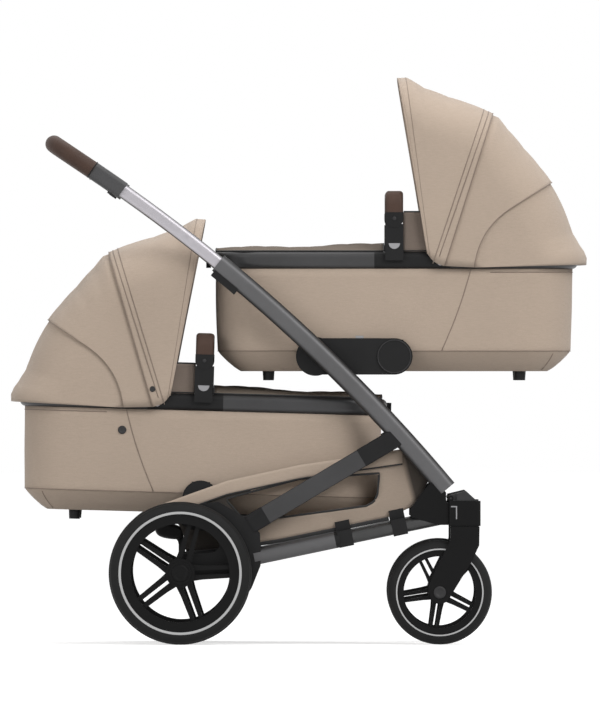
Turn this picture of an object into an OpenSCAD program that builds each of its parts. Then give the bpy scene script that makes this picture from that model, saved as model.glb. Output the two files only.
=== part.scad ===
// Twin pram: an arched push-bar frame with two hooded carrycots, one above and ahead of the other.
// X points forward, Y to the pram's left and Z up, with the ground at zero.

/* [Rear wheels] */
// Outer diameter of a rear wheel
rear_wheel_d = 290; // [260:1:310]
// Width of a rear tyre
rear_tyre_w = 42; // [36:1:46]
// Depth of a rear tyre from tread to rim seat
rear_tyre_depth = 25; // [20:1:30]
// Depth of the rear rim ring
rear_rim_depth = 20; // [16:1:24]
// Diameter of the rear hub
rear_hub_d = 59; // [52:1:66]
// Width of one bar of a rear double spoke
rear_bar_w = 10; // [8:1:12]
// Slot between the two bars of a rear spoke
rear_slot_w = 9; // [7:1:11]
// Diameter of the rear wheel spindle
rear_spindle_d = 12; // [10:1:14]
// Distance of the rear axle behind the part's middle
rear_axle_back = 242.7; // [232:1:255]
// Distance of a rear wheel's middle outside the bar tube's
rear_wheel_out = 37.5; // [36:0.5:50]

/* [Front wheels] */
// Outer diameter of a front wheel
front_wheel_d = 212; // [196:1:226]
// Width of a front tyre
front_tyre_w = 38; // [34:1:40]
// Depth of a front tyre from tread to rim seat
front_tyre_depth = 20; // [16:1:23]
// Depth of the front rim ring
front_rim_depth = 13; // [11:1:16]
// Diameter of the front hub
front_hub_d = 47; // [42:1:52]
// Width of one bar of a front double spoke
front_bar_w = 7; // [6:0.5:8]
// Slot between the two bars of a front spoke
front_slot_w = 7; // [6:0.5:8]
// Diameter of the front wheel's axle pin
front_pin_d = 10; // [8:1:12]
// Distance of the swivel axes ahead of the part's middle
swivel_ahead = 333.7; // [322:1:345]
// Distance of a front axle behind its swivel axis
front_trail = 50.3; // [44:1:56]
// Distance of a front wheel's middle inside the bar tube's
front_wheel_in = 4; // [0:1:8]

/* [Front fork and housing] */
// Thickness of a fork leg
fork_leg_t = 8; // [6:1:10]
// Space between the tyre and a fork leg
fork_side_gap = 3; // [2:0.5:5]
// Height of the fork crown
fork_crown_h = 24; // [20:1:30]
// Space between the tyre and the crown
fork_top_gap = 4; // [3:0.5:6]
// Diameter of the swivel stem
stem_d = 20; // [16:1:24]
// Length of the swivel stem
stem_length = 40; // [34:1:46]
// Length of a caster housing
housing_length = 65; // [60:1:72]
// Width of a caster housing
housing_w = 48; // [44:1:52]
// Height of a caster housing
housing_h = 51; // [48:1:58]
// Diameter of the tube that joins the two front brackets
cross_tube_d = 24; // [18:1:28]
// Reach of a front bracket behind the swivel axis
carrier_reach = 110; // [102:1:116]
// Thickness of a front bracket
carrier_t = 22; // [18:1:25]

/* [Push bar] */
// Radius of the arc that the whole push bar follows
bar_radius = 3430; // [3300:10:3560]
// Length of the outer bar tube along its arc
main_length = 653; // [630:1:670]
// Depth of the outer bar tube seen from the side
main_depth = 40; // [36:1:44]
// Width of the outer bar tube
main_w = 28; // [25:1:30]
// Distance of a bar tube's middle outside the cot's side
bar_out = 44; // [42:1:50]
// Distance of the bar's foot behind the swivel axis
bar_foot_back = 35.5; // [32:0.5:39]
// Height of the bar's foot above the housing's base
bar_foot_up = 75; // [72:1:80]
// Depth of the sliding handle tube
inner_depth = 28.4; // [25:0.2:31]
// Width of the sliding handle tube
inner_w = 18; // [15:1:20]
// Bare length of the handle tube above the outer tube
inner_shown = 243; // [220:1:260]
// Length of the handle tube held inside the outer tube
inner_held_length = 90; // [70:1:110]
// Wall of the handle tube
inner_wall = 2; // [1.5:0.1:3]
// Length of a black handle cap
cap_length = 73; // [64:1:82]
// Depth of a handle cap and of the grip
grip_d = 35.5; // [33:0.5:38]
// Width of a handle cap
cap_w = 30; // [26:1:33]
// Length of the grip arms from cap to crossbar
grip_reach = 96; // [88:1:106]
// Bend radius of the grip's corners
grip_bend = 52; // [44:1:60]
// Length of a handle trigger
trigger_length = 16; // [12:1:20]
// Length of a fold slider
slider_length = 62; // [52:1:72]
// Thickness of a fold slider
slider_t = 9; // [7:1:11]

/* [Rear leg and rails] */
// Depth of a rear leg seen from the side
leg_depth = 37.7; // [34:0.5:41]
// Width of a rear leg
leg_w = 26; // [22:1:28]
// Distance of the leg's foot ahead of the rear axle
leg_foot_ahead = 173.4; // [166:1:180]
// Height of the leg's foot above the rear axle
leg_foot_up = 117.6; // [112:0.5:124]
// Place on the bar, up from its foot, that the leg points at
leg_seat = 145; // [130:1:160]
// Length of the leg's top knuckle, before the bar trims it
knuckle_length = 91; // [80:1:100]
// Length of the leg's bottom shoe
shoe_length = 37; // [30:1:44]
// Distance of the lower sleeve's end ahead of the rear axle
sleeve_ahead = 157.6; // [150:1:164]
// Height of the lower sleeve's end above the rear axle
sleeve_up = 33; // [28:0.5:38]
// Length of a lower sleeve
sleeve_length = 160; // [150:1:170]
// Diameter of a lower sleeve
sleeve_d = 31.4; // [28:0.2:34]
// Diameter of a lower rail
rail_d = 26; // [22:0.2:28]
// Distance of a lower rail's middle inside the bar tube's
rail_in = 2; // [0:0.5:3]
// Distance of the rail's front end behind the swivel axis
rail_front_back = 45; // [40:1:50]
// Height of the rail's front end above the housing's base
rail_front_up = 16; // [12:1:22]
// Length of a rail collar and of the clamps
clamp_length = 30; // [26:1:34]
// Height of a rail clamp
clamp_h = 33; // [30:1:38]

/* [Rear axle] */
// Diameter of the rear axle tube
axle_tube_d = 20; // [16:1:24]
// Thickness of a rear hub plate
hub_plate_t = 22; // [18:1:26]
// Size that the hub plate's outline follows
hub_plate_reach = 148; // [140:1:156]
// Width of the brake pedal
pedal_w = 92; // [76:1:110]
// Length of the brake pedal's pad
pedal_length = 47; // [42:1:52]
// Height of the brake pedal's pad above the axle
pedal_up = 70; // [64:1:76]
// Thickness of the brake pedal's pad
pedal_t = 9; // [7:1:12]

/* [Adapters] */
// Place of the upper adapter's hub along the bar, up from its foot
adapter_seat = 379.5; // [360:1:400]
// Distance of the adapter's hub inside the bar's middle line
adapter_in = 11.4; // [8:0.2:14]
// Overhang of the upper cot's foot end behind the adapter's hub
foot_overhang = 202.8; // [190:1:212]
// Diameter of the adapter's hub end
adapter_hub_d = 79; // [76:1:84]
// Diameter of the adapter's mount end
adapter_d = 74; // [70:1:80]
// Thickness of an adapter
adapter_t = 16; // [14:1:17]
// Width of a release tab
tab_w = 16; // [12:1:20]
// Height that a release tab stands proud
tab_proud = 5; // [4:0.5:6]
// Distance of the lower mount ahead of the rear axle
lower_mount_ahead = 41; // [36:1:46]
// Height of the lower mount above the floor
lower_mount_z = 295.7; // [291:0.5:303]
// Forward tilt of the lower cot, in degrees
lower_tilt = 1.6; // [0:0.1:2]

/* [Basket] */
// Reach of the basket behind the rear axle
basket_tail = 31; // [24:1:38]
// Gap from the basket's nose to the swivel axes
basket_nose_gap = 77; // [74:1:84]
// Height of the basket
basket_h = 200; // [190:1:206]
// Height of the basket's lowest edge above the rear axle
basket_up = 49; // [46:1:54]
// Thickness of the basket's cloth
basket_t = 3; // [2:0.5:4]
// Height of the band around the basket's mouth
band_h = 28; // [22:1:34]

/* [Carrycot] */
// Length of a cot between its end walls at the rim
cot_length = 726; // [700:1:736]
// Width of a cot between its side walls
cot_w = 392; // [380:1:396]
// Corner radius of a cot in plan
cot_corner_r = 90; // [70:1:110]
// Height of the rim's underside above the cot's mount
cot_rim_up = 178; // [168:1:186]
// Height of the crease above the cot's mount
cot_crease_up = 11; // [8:1:11.5]
// Depth of the cot's floor below its mount
cot_floor_down = 30; // [26:1:32]
// Inward slope of the end walls below the crease
cot_end_draw = 49; // [40:1:58]
// Inward slope of the side walls below the crease
cot_side_draw = 36; // [30:1:44]
// Inward draw of the end walls between rim and crease
cot_wall_draw = 4; // [2:0.5:8]
// Thickness of the cot's padded wall
cot_wall = 6; // [5:0.5:9]
// Height of the rim tube's section
rim_h = 34; // [30:1:38]
// Width of the rim tube's section
rim_w = 22; // [18:1:24]
// Distance of each foot from the cot's mount
foot_reach = 255.5; // [245:1:262]
// Diameter of a foot
foot_d = 24; // [20:1:28]
// Height of a foot
foot_h = 18.5; // [16:0.5:20]
// Thickness of the mattress at its edge
mattress_t = 34; // [28:1:40]
// Rise of the mattress at its middle
mattress_crown = 12; // [8:1:16]
// Depth of the mattress's sewn channels
channel_depth = 5; // [3:0.5:7]
// Number of sewn channels across the mattress
channel_count = 4; // [2:1:5]
// Rise of the apron at its middle
apron_crown = 14; // [10:1:18]
// Thickness of the apron's cloth
apron_t = 3; // [2:0.5:4]
// Depth of the apron's cross folds
apron_fold = 2; // [1:0.5:3]
// Height of the apron's side wings
wing_h = 82; // [70:1:88]

/* [Carry handle] */
// Length of a handle socket along the cot
socket_length = 37; // [34:1:40]
// Height of the carry handle's pivot above the rim's top
carry_pivot_up = 68; // [62:1:74]
// Height of the grip's top above the pivot
carry_rise = 56; // [52:1:64]
// Thickness of the carry grip
carry_t = 14; // [11:1:15]
// Width of the carry grip
carry_w = 36; // [32:1:36]
// Bend radius of the carry grip's corners
carry_bend = 20; // [16:1:22]
// Diameter of the carry handle's pivot pin
carry_pin_d = 10; // [8:1:12]
// Width of a half-moon release button
button_w = 23; // [18:1:26]
// Press depth of a release button
button_travel = 3; // [2:0.5:4]

/* [Hood] */
// Distance of the hood's pivot from the cot's head end
hood_from_head = 269.7; // [265:1:273]
// Height of the hood's pivot above the rim's underside
hood_up = 12.6; // [11:0.2:15]
// Reach of the hood's peak from the pivot
hood_reach = 387; // [370:1:400]
// Thickness of a hood panel
hood_wall = 2.5; // [2:0.1:3]
// Gap between two nested hood panels
hood_gap = 1.2; // [1:0.1:1.6]
// Depth of the hood's rounded shoulders
hood_shoulder_r = 90; // [70:1:105]
// Crown of the hood's top from side to side
hood_crown = 8; // [5:1:12]
// Width of a hood bow
bow_w = 10; // [8:0.5:10.5]
// Diameter of a bow's end plate
bow_end_d = 12; // [11:0.5:12.5]
// Diameter of the hood's pivot pin
hood_pin_d = 7; // [6:0.5:8]

/* [Hidden] */
$fn = 64;
arc_fn = 1440;
// Running clearance of a shaft or slider
fit = 0.05;
// Clearance between pieces that only pass each other
clear = 0.4;
// Overrun of a cut past the face that it opens
over = 4;
fillet = 3;
// Stand of a black frame joint around its tube
joint_proud = 1;

fabric_col = [0.74, 0.66, 0.58];
lining_col = [0.52, 0.45, 0.39];
grey_col = [0.36, 0.37, 0.39];
silver_col = [0.74, 0.73, 0.75];
black_col = [0.1, 0.1, 0.11];
dark_col = [0.2, 0.21, 0.22];
brown_col = [0.29, 0.21, 0.18];
tyre_col = [0.14, 0.14, 0.15];
button_col = [0.62, 0.64, 0.64];

cot_half = cot_w / 2;
bar_y = cot_half + bar_out;
rail_y = bar_y - rail_in;
rear_wheel_y = bar_y + rear_wheel_out;
front_wheel_y = bar_y - front_wheel_in;
adapter_reach = cot_length / 2 - foot_overhang;
hood_ahead = cot_length / 2 - hood_from_head;
rear_axle_x = -rear_axle_back;
rear_axle_z = rear_wheel_d / 2;
front_axle_x = swivel_ahead - front_trail;
front_axle_z = front_wheel_d / 2;
wheelbase = swivel_ahead + rear_axle_back;
house_z = front_wheel_d + fork_top_gap + fork_crown_h + clear;
spoke_count = 5;
rear_spoke_turn = 2;
front_spoke_turn = 45;

// The bar's arc, counted along its middle line from the foot up
bar_foot_slope = 50.1;
bar_a0 = 90 - bar_foot_slope;
bar_foot_x = swivel_ahead - bar_foot_back;
bar_foot_z = house_z + bar_foot_up;
bar_cx = bar_foot_x - bar_radius * cos(bar_a0);
bar_cz = bar_foot_z - bar_radius * sin(bar_a0);
cap_from = main_length + inner_shown;
grip_from = cap_from + cap_length;
grip_to = grip_from + grip_reach;
function bar_turn(s) = s / bar_radius * 180 / PI;
function bar_at(s, out = 0) = [
    bar_cx + (bar_radius + out) * cos(bar_a0 + bar_turn(s)),
    bar_cz + (bar_radius + out) * sin(bar_a0 + bar_turn(s))
];

leg_foot = [rear_axle_x + leg_foot_ahead, rear_axle_z + leg_foot_up];
leg_top = bar_at(leg_seat);
leg_slope = atan2(leg_top[1] - leg_foot[1], leg_top[0] - leg_foot[0]);
leg_full = norm(leg_top - leg_foot);
leg_length = leg_full - knuckle_length;
sleeve_end = [rear_axle_x + sleeve_ahead, rear_axle_z + sleeve_up];
rail_end = [swivel_ahead - rail_front_back, house_z + rail_front_up];
rail_slope = atan2(rail_end[1] - sleeve_end[1], rail_end[0] - sleeve_end[0]);
rail_full = norm(rail_end - sleeve_end);
sleeve_sunk = 8;

adapter_hub = bar_at(adapter_seat, -adapter_in);
upper_mount = [adapter_hub[0] + adapter_reach, adapter_hub[1]];
lower_mount = [rear_axle_x + lower_mount_ahead, lower_mount_z];
bar_inner_y = bar_y - main_w / 2;
// Space between the cot's side and an adapter
adapter_gap = 4;
// Thickness of the adapter's wall outside the cot's pod
adapter_face = 5;
adapter_y0 = cot_half + adapter_gap;
adapter_y1 = adapter_y0 + adapter_t;
pod_w = socket_length;
pod_down = 10;
pod_up = 34;
pod_y1 = adapter_y1 - adapter_face;
basket_gap = 4;
basket_y1 = bar_inner_y - basket_gap;
basket_y0 = basket_y1 - basket_t;
boss_d = 26;
lower_boss_d = 16;
lower_boss_drop = 26;
lower_boss_back = 4;

// Stand of the rim outside the cot's side and end walls
rim_proud = 7;
rim_end_proud = 10;
rim_half_w = cot_half + rim_proud - rim_w / 2;
rim_half_l = cot_length / 2 + rim_end_proud - rim_w / 2;
rim_mid = cot_rim_up + rim_h / 2;
rim_top = cot_rim_up + rim_h;
rim_y1 = rim_half_w + rim_w / 2;
// Reach of a side frame behind the mount and past the hood's pivot
frame_back = 40.6;
frame_margin = 20;
frame_ahead = hood_ahead + frame_margin;
carry_pivot = rim_top + carry_pivot_up;
socket_proud = 10;
knuckle_t = 16;
ear_t = 7;
socket_y1 = rim_y1 + socket_proud;
knuckle_y0 = socket_y1 - knuckle_t;
ear_y0 = knuckle_y0 - ear_t;

// Hood layers from the inside out: back, middle, front
hood_z = cot_rim_up + hood_up;
hood_step = hood_wall + hood_gap;
// Space between the rim and the hood's inside
hood_side_gap = 0.3;
back_half = rim_y1 + hood_side_gap + hood_wall;
mid_half = back_half + hood_step;
front_half = mid_half + hood_step;
front_turns = [103, 100, 95, 87, 80, 72.6, 70.3];
front_reach_shares = [1, 0.992, 0.925, 0.876, 0.856, 0.84, 0.837];
mid_turns = [71.5, 68, 63, 53.5, 44, 35.5];
mid_reach_shares = [1, 1, 0.955, 0.905, 0.885, 0.88];
back_turns = [37, 27, 21, 17, 12.5, 7.3, 4.7, 1.9, -0.8];
back_reach_shares = [1, 0.994, 0.993, 0.994, 1, 1.035, 1.062, 1.08, 1.077];
function last(list) = list[len(list) - 1];
mid_reach = hood_reach * last(front_reach_shares) - hood_step;
back_reach = mid_reach * last(mid_reach_shares) - hood_step;
front_bow_turn = 98;
front_bow_share = 0.935;
mid_bow_turn = 68.5;
mid_bow_share = 0.985;
// Lower front corner of the hood, behind and above the pivot
hood_corner_x = 26;
hood_corner_z = 18;
// Hem places past the pivot: the end of the visor, the start and end of the middle, the end of the back
hood_tuck = 9;
mid_tuck = 6;
mid_hem = 69;
back_hem = 84;
// Drop of the hem below the pivot, at the visor and at the back
hood_drop = 7;
back_drop = 10;
// Forward bend of the seam between the middle and back panels
hood_bend = 47;
hood_knee_share = 0.27;

// Extrudes an outline drawn in X and Z between two sideways places
module slab(y0, y1) translate([0, y1, 0]) rotate([90, 0, 0]) linear_extrude(y1 - y0) children();
// Repeats a piece on the pram's other side
module both() {
    children();
    mirror([0, 1, 0]) children();
}
module stadium(long, wide) {
    square([long - wide, wide], center = true);
    translate([long / 2 - wide / 2, 0]) circle(d = wide);
    translate([wide / 2 - long / 2, 0]) circle(d = wide);
}
module rounded(long, wide, r) {
    square([long - 2 * r, wide], center = true);
    square([long, wide - 2 * r], center = true);
    for (x = [-1, 1], y = [-1, 1])
        translate([x * (long / 2 - r), y * (wide / 2 - r)]) circle(r);
}
// Sweeps a section along the bar's arc between two distances from its foot
module bar_arc(s0, s1, y = bar_y)
    translate([bar_cx, y, bar_cz]) rotate([90, 0, 0]) rotate([0, 0, bar_a0 + bar_turn(s0)])
        rotate_extrude(angle = bar_turn(s1 - s0), $fn = arc_fn) translate([bar_radius, 0]) children();
// Places a piece that runs along X at a point of the side view, turned to a slope
module along(p, slope, y) translate([p[0], y, p[1]]) rotate([0, -slope, 0]) children();
module rod(d, x0, x1) translate([x0, 0, 0]) rotate([0, 90, 0]) cylinder(d = d, h = x1 - x0);
module cross_rod(d, y0, y1) translate([0, y1, 0]) rotate([90, 0, 0]) cylinder(d = d, h = y1 - y0);
module beam(long, depth, wide, x0)
    translate([x0, 0, 0]) rotate([90, 0, 90]) linear_extrude(long) rounded(wide, depth, fillet);

// Points of a rounded rectangle at one height, anticlockwise from the front left
function ring(hl, hw, r, z, n = 7) = [
    for (q = [0:3], i = [0:n])
        let (a = q * 90 + i * 90 / n, sx = (q == 0 || q == 3) ? 1 : -1, sy = q < 2 ? 1 : -1)
            [sx * (hl - r) + r * cos(a), sy * (hw - r) + r * sin(a), z]
];
// Joins rings of equal count into one closed skin
module loft(rings) {
    n = len(rings[0]);
    m = len(rings);
    sides = [
        for (k = [0:m - 2], i = [0:n - 1])
            let (j = (i + 1) % n, a = k * n + i, b = k * n + j, c = a + n, d = b + n)
                each [[a, c, d], [a, d, b]]
    ];
    low = [for (i = [0:n - 1]) i];
    high = [for (i = [n - 1:-1:0]) (m - 1) * n + i];
    polyhedron([for (r = rings) each r], concat(sides, [low, high]), convexity = 6);
}
// Closes two equal grids of points, an outer and an inner one, into one skin
module sheet(outer, inner) {
    r = len(outer);
    c = len(outer[0]);
    o = r * c;
    skin = [
        for (i = [0:r - 2], j = [0:c - 2])
            let (p = i * c + j, q = p + 1, s = p + c, t = s + 1)
                each [[p, s, t], [p, t, q], [o + p, o + t, o + s], [o + p, o + q, o + t]]
    ];
    ends = [
        for (j = [0:c - 2])
            let (p = j, q = j + 1, s = (r - 1) * c + j, t = s + 1)
                each [[p, q, o + q], [p, o + q, o + p], [s, o + t, t], [s, o + s, o + t]]
    ];
    edges = [
        for (i = [0:r - 2])
            let (p = i * c, q = p + c, s = p + c - 1, t = s + c)
                each [[p, o + q, q], [p, o + p, o + q], [s, t, o + t], [s, o + t, o + s]]
    ];
    points = concat([for (l = outer) each l], [for (l = inner) each l]);
    polyhedron(points, concat(skin, ends, edges), convexity = 6);
}
// Moves a closed outline inward by a distance, for outlines that run clockwise
function inset(p, t) = [
    for (i = [0:len(p) - 1])
        let (
            a = p[(i + len(p) - 1) % len(p)], b = p[i], c = p[(i + 1) % len(p)],
            u = (b - a) / norm(b - a), v = (c - b) / norm(c - b),
            nu = [u[1], -u[0]], nv = [v[1], -v[0]]
        )
            b + (nu + nv) * t / (1 + nu * nv)
];

// Wheels: a bulged tyre on a rim with five double spokes and an eight-sided hub cap
module tyre(d, w, depth) rotate([90, 0, 0]) rotate_extrude($fn = 128) {
    r = d / 2;
    intersection() {
        translate([r - depth, -w / 2]) square([depth, w]);
        union() {
            translate([r - w / 2, 0]) circle(w / 2);
            translate([r - depth, -w * 0.45]) square([depth / 2, w * 0.9]);
        }
    }
}
module rim(d, depth, w, hub, bar, slot, bore, bore_end, turn) rotate([90, turn, 0]) {
    r = d / 2;
    difference() {
        union() {
            rotate_extrude($fn = 128) polygon([
                [r - depth, -w * 0.36], [r, -w * 0.4], [r, w * 0.4], [r - depth, w * 0.36],
                [r - depth, w * 0.24], [r - depth * 0.6, w * 0.18],
                [r - depth * 0.6, -w * 0.18], [r - depth, -w * 0.24]
            ]);
            for (k = [0:spoke_count - 1], s = [-1, 1])
                rotate([0, 0, k * 360 / spoke_count]) translate([0, 0, -w * 0.16]) linear_extrude(w * 0.32)
                    polygon([
                        [hub * 0.3, s * slot / 2], [r - depth * 0.4, s * slot / 2],
                        [r - depth * 0.4, s * (slot / 2 + bar * 0.8)], [hub * 0.75, s * (slot / 2 + bar)],
                        [hub * 0.45, s * (slot / 2 + bar * 1.2)], [hub * 0.3, s * (slot / 2 + bar * 1.2)]
                    ]);
            translate([0, 0, -w * 0.36]) cylinder(d = hub, h = w * 0.72);
            translate([0, 0, -w * 0.46]) cylinder(d = hub * 0.82, h = w * 0.92, $fn = 8);
        }
        translate([0, 0, -w]) cylinder(d = bore, h = w + bore_end);
    }
}
module rear_tyre(s) color(tyre_col) translate([rear_axle_x, s * rear_wheel_y, rear_axle_z])
    tyre(rear_wheel_d, rear_tyre_w, rear_tyre_depth);
module rear_rim(s) color(black_col) translate([rear_axle_x, s * rear_wheel_y, rear_axle_z])
    mirror([0, s > 0 ? 1 : 0, 0])
        rim(rear_wheel_d - 2 * rear_tyre_depth, rear_rim_depth, rear_tyre_w, rear_hub_d,
            rear_bar_w, rear_slot_w, rear_spindle_d + 2 * fit, rear_tyre_w * 0.36, -rear_spoke_turn);
module front_tyre(s) color(tyre_col) translate([front_axle_x, s * front_wheel_y, front_axle_z])
    tyre(front_wheel_d, front_tyre_w, front_tyre_depth);
module front_rim(s) color(black_col) translate([front_axle_x, s * front_wheel_y, front_axle_z])
    rim(front_wheel_d - 2 * front_tyre_depth, front_rim_depth, front_tyre_w, front_hub_d,
        front_bar_w, front_slot_w, front_pin_d + 2 * fit, front_tyre_w, -front_spoke_turn);

// Caster fork: two broad legs, a crown and the swivel stem, with the wheel's pin across
fork_height = house_z - front_axle_z;
fork_shares = [
    [0.16, 0.99], [0.6, 0.99], [0.595, 0.71], [0.475, 0.455], [0.216, 0.03], [0.12, -0.12],
    [0.04, -0.17], [-0.04, -0.17], [-0.12, -0.12], [-0.175, 0.03], [-0.13, 0.2], [0.16, 0.79]
];
fork_in = front_tyre_w / 2 + fork_side_gap;
crown_back_share = 0.16;
module front_fork(s) color(black_col) translate([front_axle_x, s * front_wheel_y, front_axle_z]) {
    for (m = [0, 1]) mirror([0, m, 0]) slab(fork_in, fork_in + fork_leg_t)
        intersection() {
            polygon(fork_shares * fork_height);
            translate([-fork_height, -fork_height])
                square([2 * fork_height, 2 * fork_height - clear]);
        }
    cross_rod(front_pin_d, -fork_in - fork_leg_t / 2, fork_in + fork_leg_t / 2);
    translate([crown_back_share * fork_height, -fork_in - fork_leg_t / 2, front_wheel_d / 2 + fork_top_gap])
        cube([0.43 * fork_height, 2 * fork_in + fork_leg_t, fork_crown_h]);
    translate([front_trail, 0, fork_height - fork_crown_h / 2])
        cylinder(d = stem_d, h = fork_crown_h / 2 + stem_length);
}

// Front carrier: a bracket and caster housing on each side, joined by a cross tube
carrier_shares = [
    [-1, 0.17], [-1, 0.31], [-0.8, 0.6], [-0.56, 0.86], [-0.34, 0.62], [-0.34, 0.44], [-0.2, 0.44],
    [-0.2, 0.02], [-0.5, 0.02]
];
cross_tube = [swivel_ahead - carrier_reach * 0.67, house_z + carrier_reach * 0.42];
lock_shares = [[-0.49, 0.09], [-0.49, 0.17], [0.05, 0.3], [0.36, 0.02], [0.36, 0], [-0.4, 0]];
lock_hinge_d = 8;
lock_hinge = [swivel_ahead - housing_length * 0.43, house_z + housing_h + clear + lock_hinge_d * 0.6];
module front_carrier() color(black_col) {
    both() {
        difference() {
            union() {
                translate([swivel_ahead, front_wheel_y, house_z]) linear_extrude(housing_h)
                    rounded(housing_length, housing_w, fillet * 2);
                translate([0, bar_y, 0]) slab(-carrier_t / 2, carrier_t / 2)
                    translate([swivel_ahead, house_z]) polygon(carrier_shares * carrier_reach);
            }
            translate([swivel_ahead, front_wheel_y, house_z - over])
                cylinder(d = stem_d + 2 * fit, h = stem_length + over + clear);
            bar_arc(0, main_length / 2) stadium(main_depth, main_w);
            along(sleeve_end, rail_slope, rail_y) rod(rail_d, 0, rail_full);
        }
        for (e = [-1, 1]) translate([lock_hinge[0], front_wheel_y, lock_hinge[1]])
            slab(e * housing_w * 0.38 - fillet, e * housing_w * 0.38 + fillet) difference() {
                union() {
                    circle(d = lock_hinge_d + fillet);
                    translate([-lock_hinge_d / 2, -lock_hinge_d * 0.6 - clear])
                        square([lock_hinge_d, lock_hinge_d * 0.6]);
                }
                circle(d = lock_hinge_d / 2);
            }
    }
    translate([cross_tube[0], 0, cross_tube[1]])
        cross_rod(cross_tube_d, carrier_t / 2 - bar_y, bar_y - carrier_t / 2);
}
// Swivel lock: a wedge-shaped lever on the housing that tips up on a pin
module swivel_lock(s) color(dark_col) {
    difference() {
        translate([swivel_ahead, s * front_wheel_y, house_z + housing_h + clear])
            slab(-housing_w * 0.44, housing_w * 0.44) polygon(lock_shares * housing_length);
        for (e = [-1, 1]) translate([lock_hinge[0], s * front_wheel_y, lock_hinge[1]])
            slab(e * housing_w * 0.38 - fillet - clear, e * housing_w * 0.38 + fillet + clear)
                square([lock_hinge_d * 3, lock_hinge_d * 4], center = true);
    }
    translate([lock_hinge[0], s * front_wheel_y, lock_hinge[1]])
        cross_rod(lock_hinge_d / 2 - 2 * fit, -housing_w * 0.44, housing_w * 0.44);
}

// Push bar: curved outer tubes, and the handle whose tubes slide inside them
module main_tubes() color(grey_col) both() difference() {
    bar_arc(0, main_length) stadium(main_depth, main_w);
    bar_arc(-over, main_length + over) stadium(inner_depth + 2 * fit, inner_w + 2 * fit);
}
module handle_tubes() color(silver_col) both() difference() {
    bar_arc(main_length - inner_held_length, cap_from + cap_length / 2) stadium(inner_depth, inner_w);
    bar_arc(main_length - inner_held_length - over, cap_from + cap_length)
        stadium(inner_depth - 2 * inner_wall, inner_w - 2 * inner_wall);
}
trigger_at = cap_from + trigger_length;
trigger_w = 10;
trigger_sunk = 2.4;
trigger_proud = 4;
trigger_travel = 4;
module trigger_block(s0, s1, w, low, high)
    bar_arc(trigger_at - trigger_length / 2 + s0, trigger_at + trigger_length / 2 + s1)
        translate([-grip_d / 2 - low, -w / 2]) square([low + high, w]);
module handle_caps() color(black_col) both() difference() {
    bar_arc(cap_from, grip_from) rounded(grip_d, cap_w, fillet * 3);
    bar_arc(cap_from - over, cap_from + cap_length / 2) stadium(inner_depth, inner_w);
    trigger_block(-clear, trigger_travel + clear, trigger_w + 2 * clear, over, trigger_sunk);
}
module handle_triggers() color(dark_col) both()
    trigger_block(0, 0, trigger_w, trigger_proud, trigger_sunk - clear / 2);
module handle_grip() color(brown_col) {
    arm = grip_reach - grip_bend;
    p = bar_at(grip_from);
    translate([p[0], 0, p[1]]) rotate([0, 90 - bar_a0 - bar_turn(grip_from), 0]) mirror([1, 0, 0]) {
        both() translate([0, bar_y, 0]) rod(grip_d, 0, arm);
        both() translate([arm, bar_y - grip_bend, 0]) rotate_extrude(angle = 90)
            translate([grip_bend, 0]) circle(d = grip_d);
        translate([grip_reach, 0, 0]) cross_rod(grip_d, grip_bend - bar_y, bar_y - grip_bend);
    }
}
// Fold slider: a catch that runs along the underside of each outer tube
slider_drop = 4;
module fold_sliders() color(black_col) both() difference() {
    bar_arc(main_length - slider_length - slider_drop, main_length - slider_drop)
        translate([-main_depth / 2 - slider_t, -main_w * 0.4]) square([slider_t * 1.5, main_w * 0.8]);
    bar_arc(0, main_length + over) stadium(main_depth + clear, main_w + clear);
}

// Rear legs, lower rails and sleeves, with the black joints that hold them
module rear_legs() color(grey_col) both() along(leg_foot, leg_slope, bar_y)
    beam(leg_length, leg_depth, leg_w, 0);
module leg_joint(long, from) along(leg_foot, leg_slope, bar_y)
    beam(long, leg_depth + joint_proud, leg_w + joint_proud, from);
clamp_gap = 6;
clamp_pitch = 112;
clamp_lug_h = 20;
clamp_lug_t = 6;
clamp_ats = [sleeve_length + clamp_gap, sleeve_length + clamp_gap + clamp_pitch];
module frame_joints() color(black_col) both() {
    difference() {
        leg_joint(knuckle_length, leg_length);
        bar_arc(0, main_length) stadium(main_depth, main_w);
    }
    leg_joint(shoe_length, -shoe_length);
    along(sleeve_end, rail_slope, rail_y) difference() {
        union() {
            rod(sleeve_d, sleeve_length, sleeve_length + clamp_gap + over);
            for (c = clamp_ats) translate([c, basket_y1 - rail_y, -clamp_h / 2]) {
                cube([clamp_length, rail_y - basket_y1 + clamp_h * 0.4, clamp_h]);
                cube([clamp_length, clamp_lug_t, clamp_h + clamp_lug_h]);
            }
        }
        rod(rail_d, 0, rail_full);
    }
}
module lower_rails() color(dark_col) both() along(sleeve_end, rail_slope, rail_y)
    rod(rail_d, sleeve_length / 2, rail_full);
module lower_sleeves() color(grey_col) both() along(sleeve_end, rail_slope, rail_y) difference() {
    rod(sleeve_d, -sleeve_sunk, sleeve_length);
    rod(rail_d, sleeve_length / 2, sleeve_length + over);
}

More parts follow.
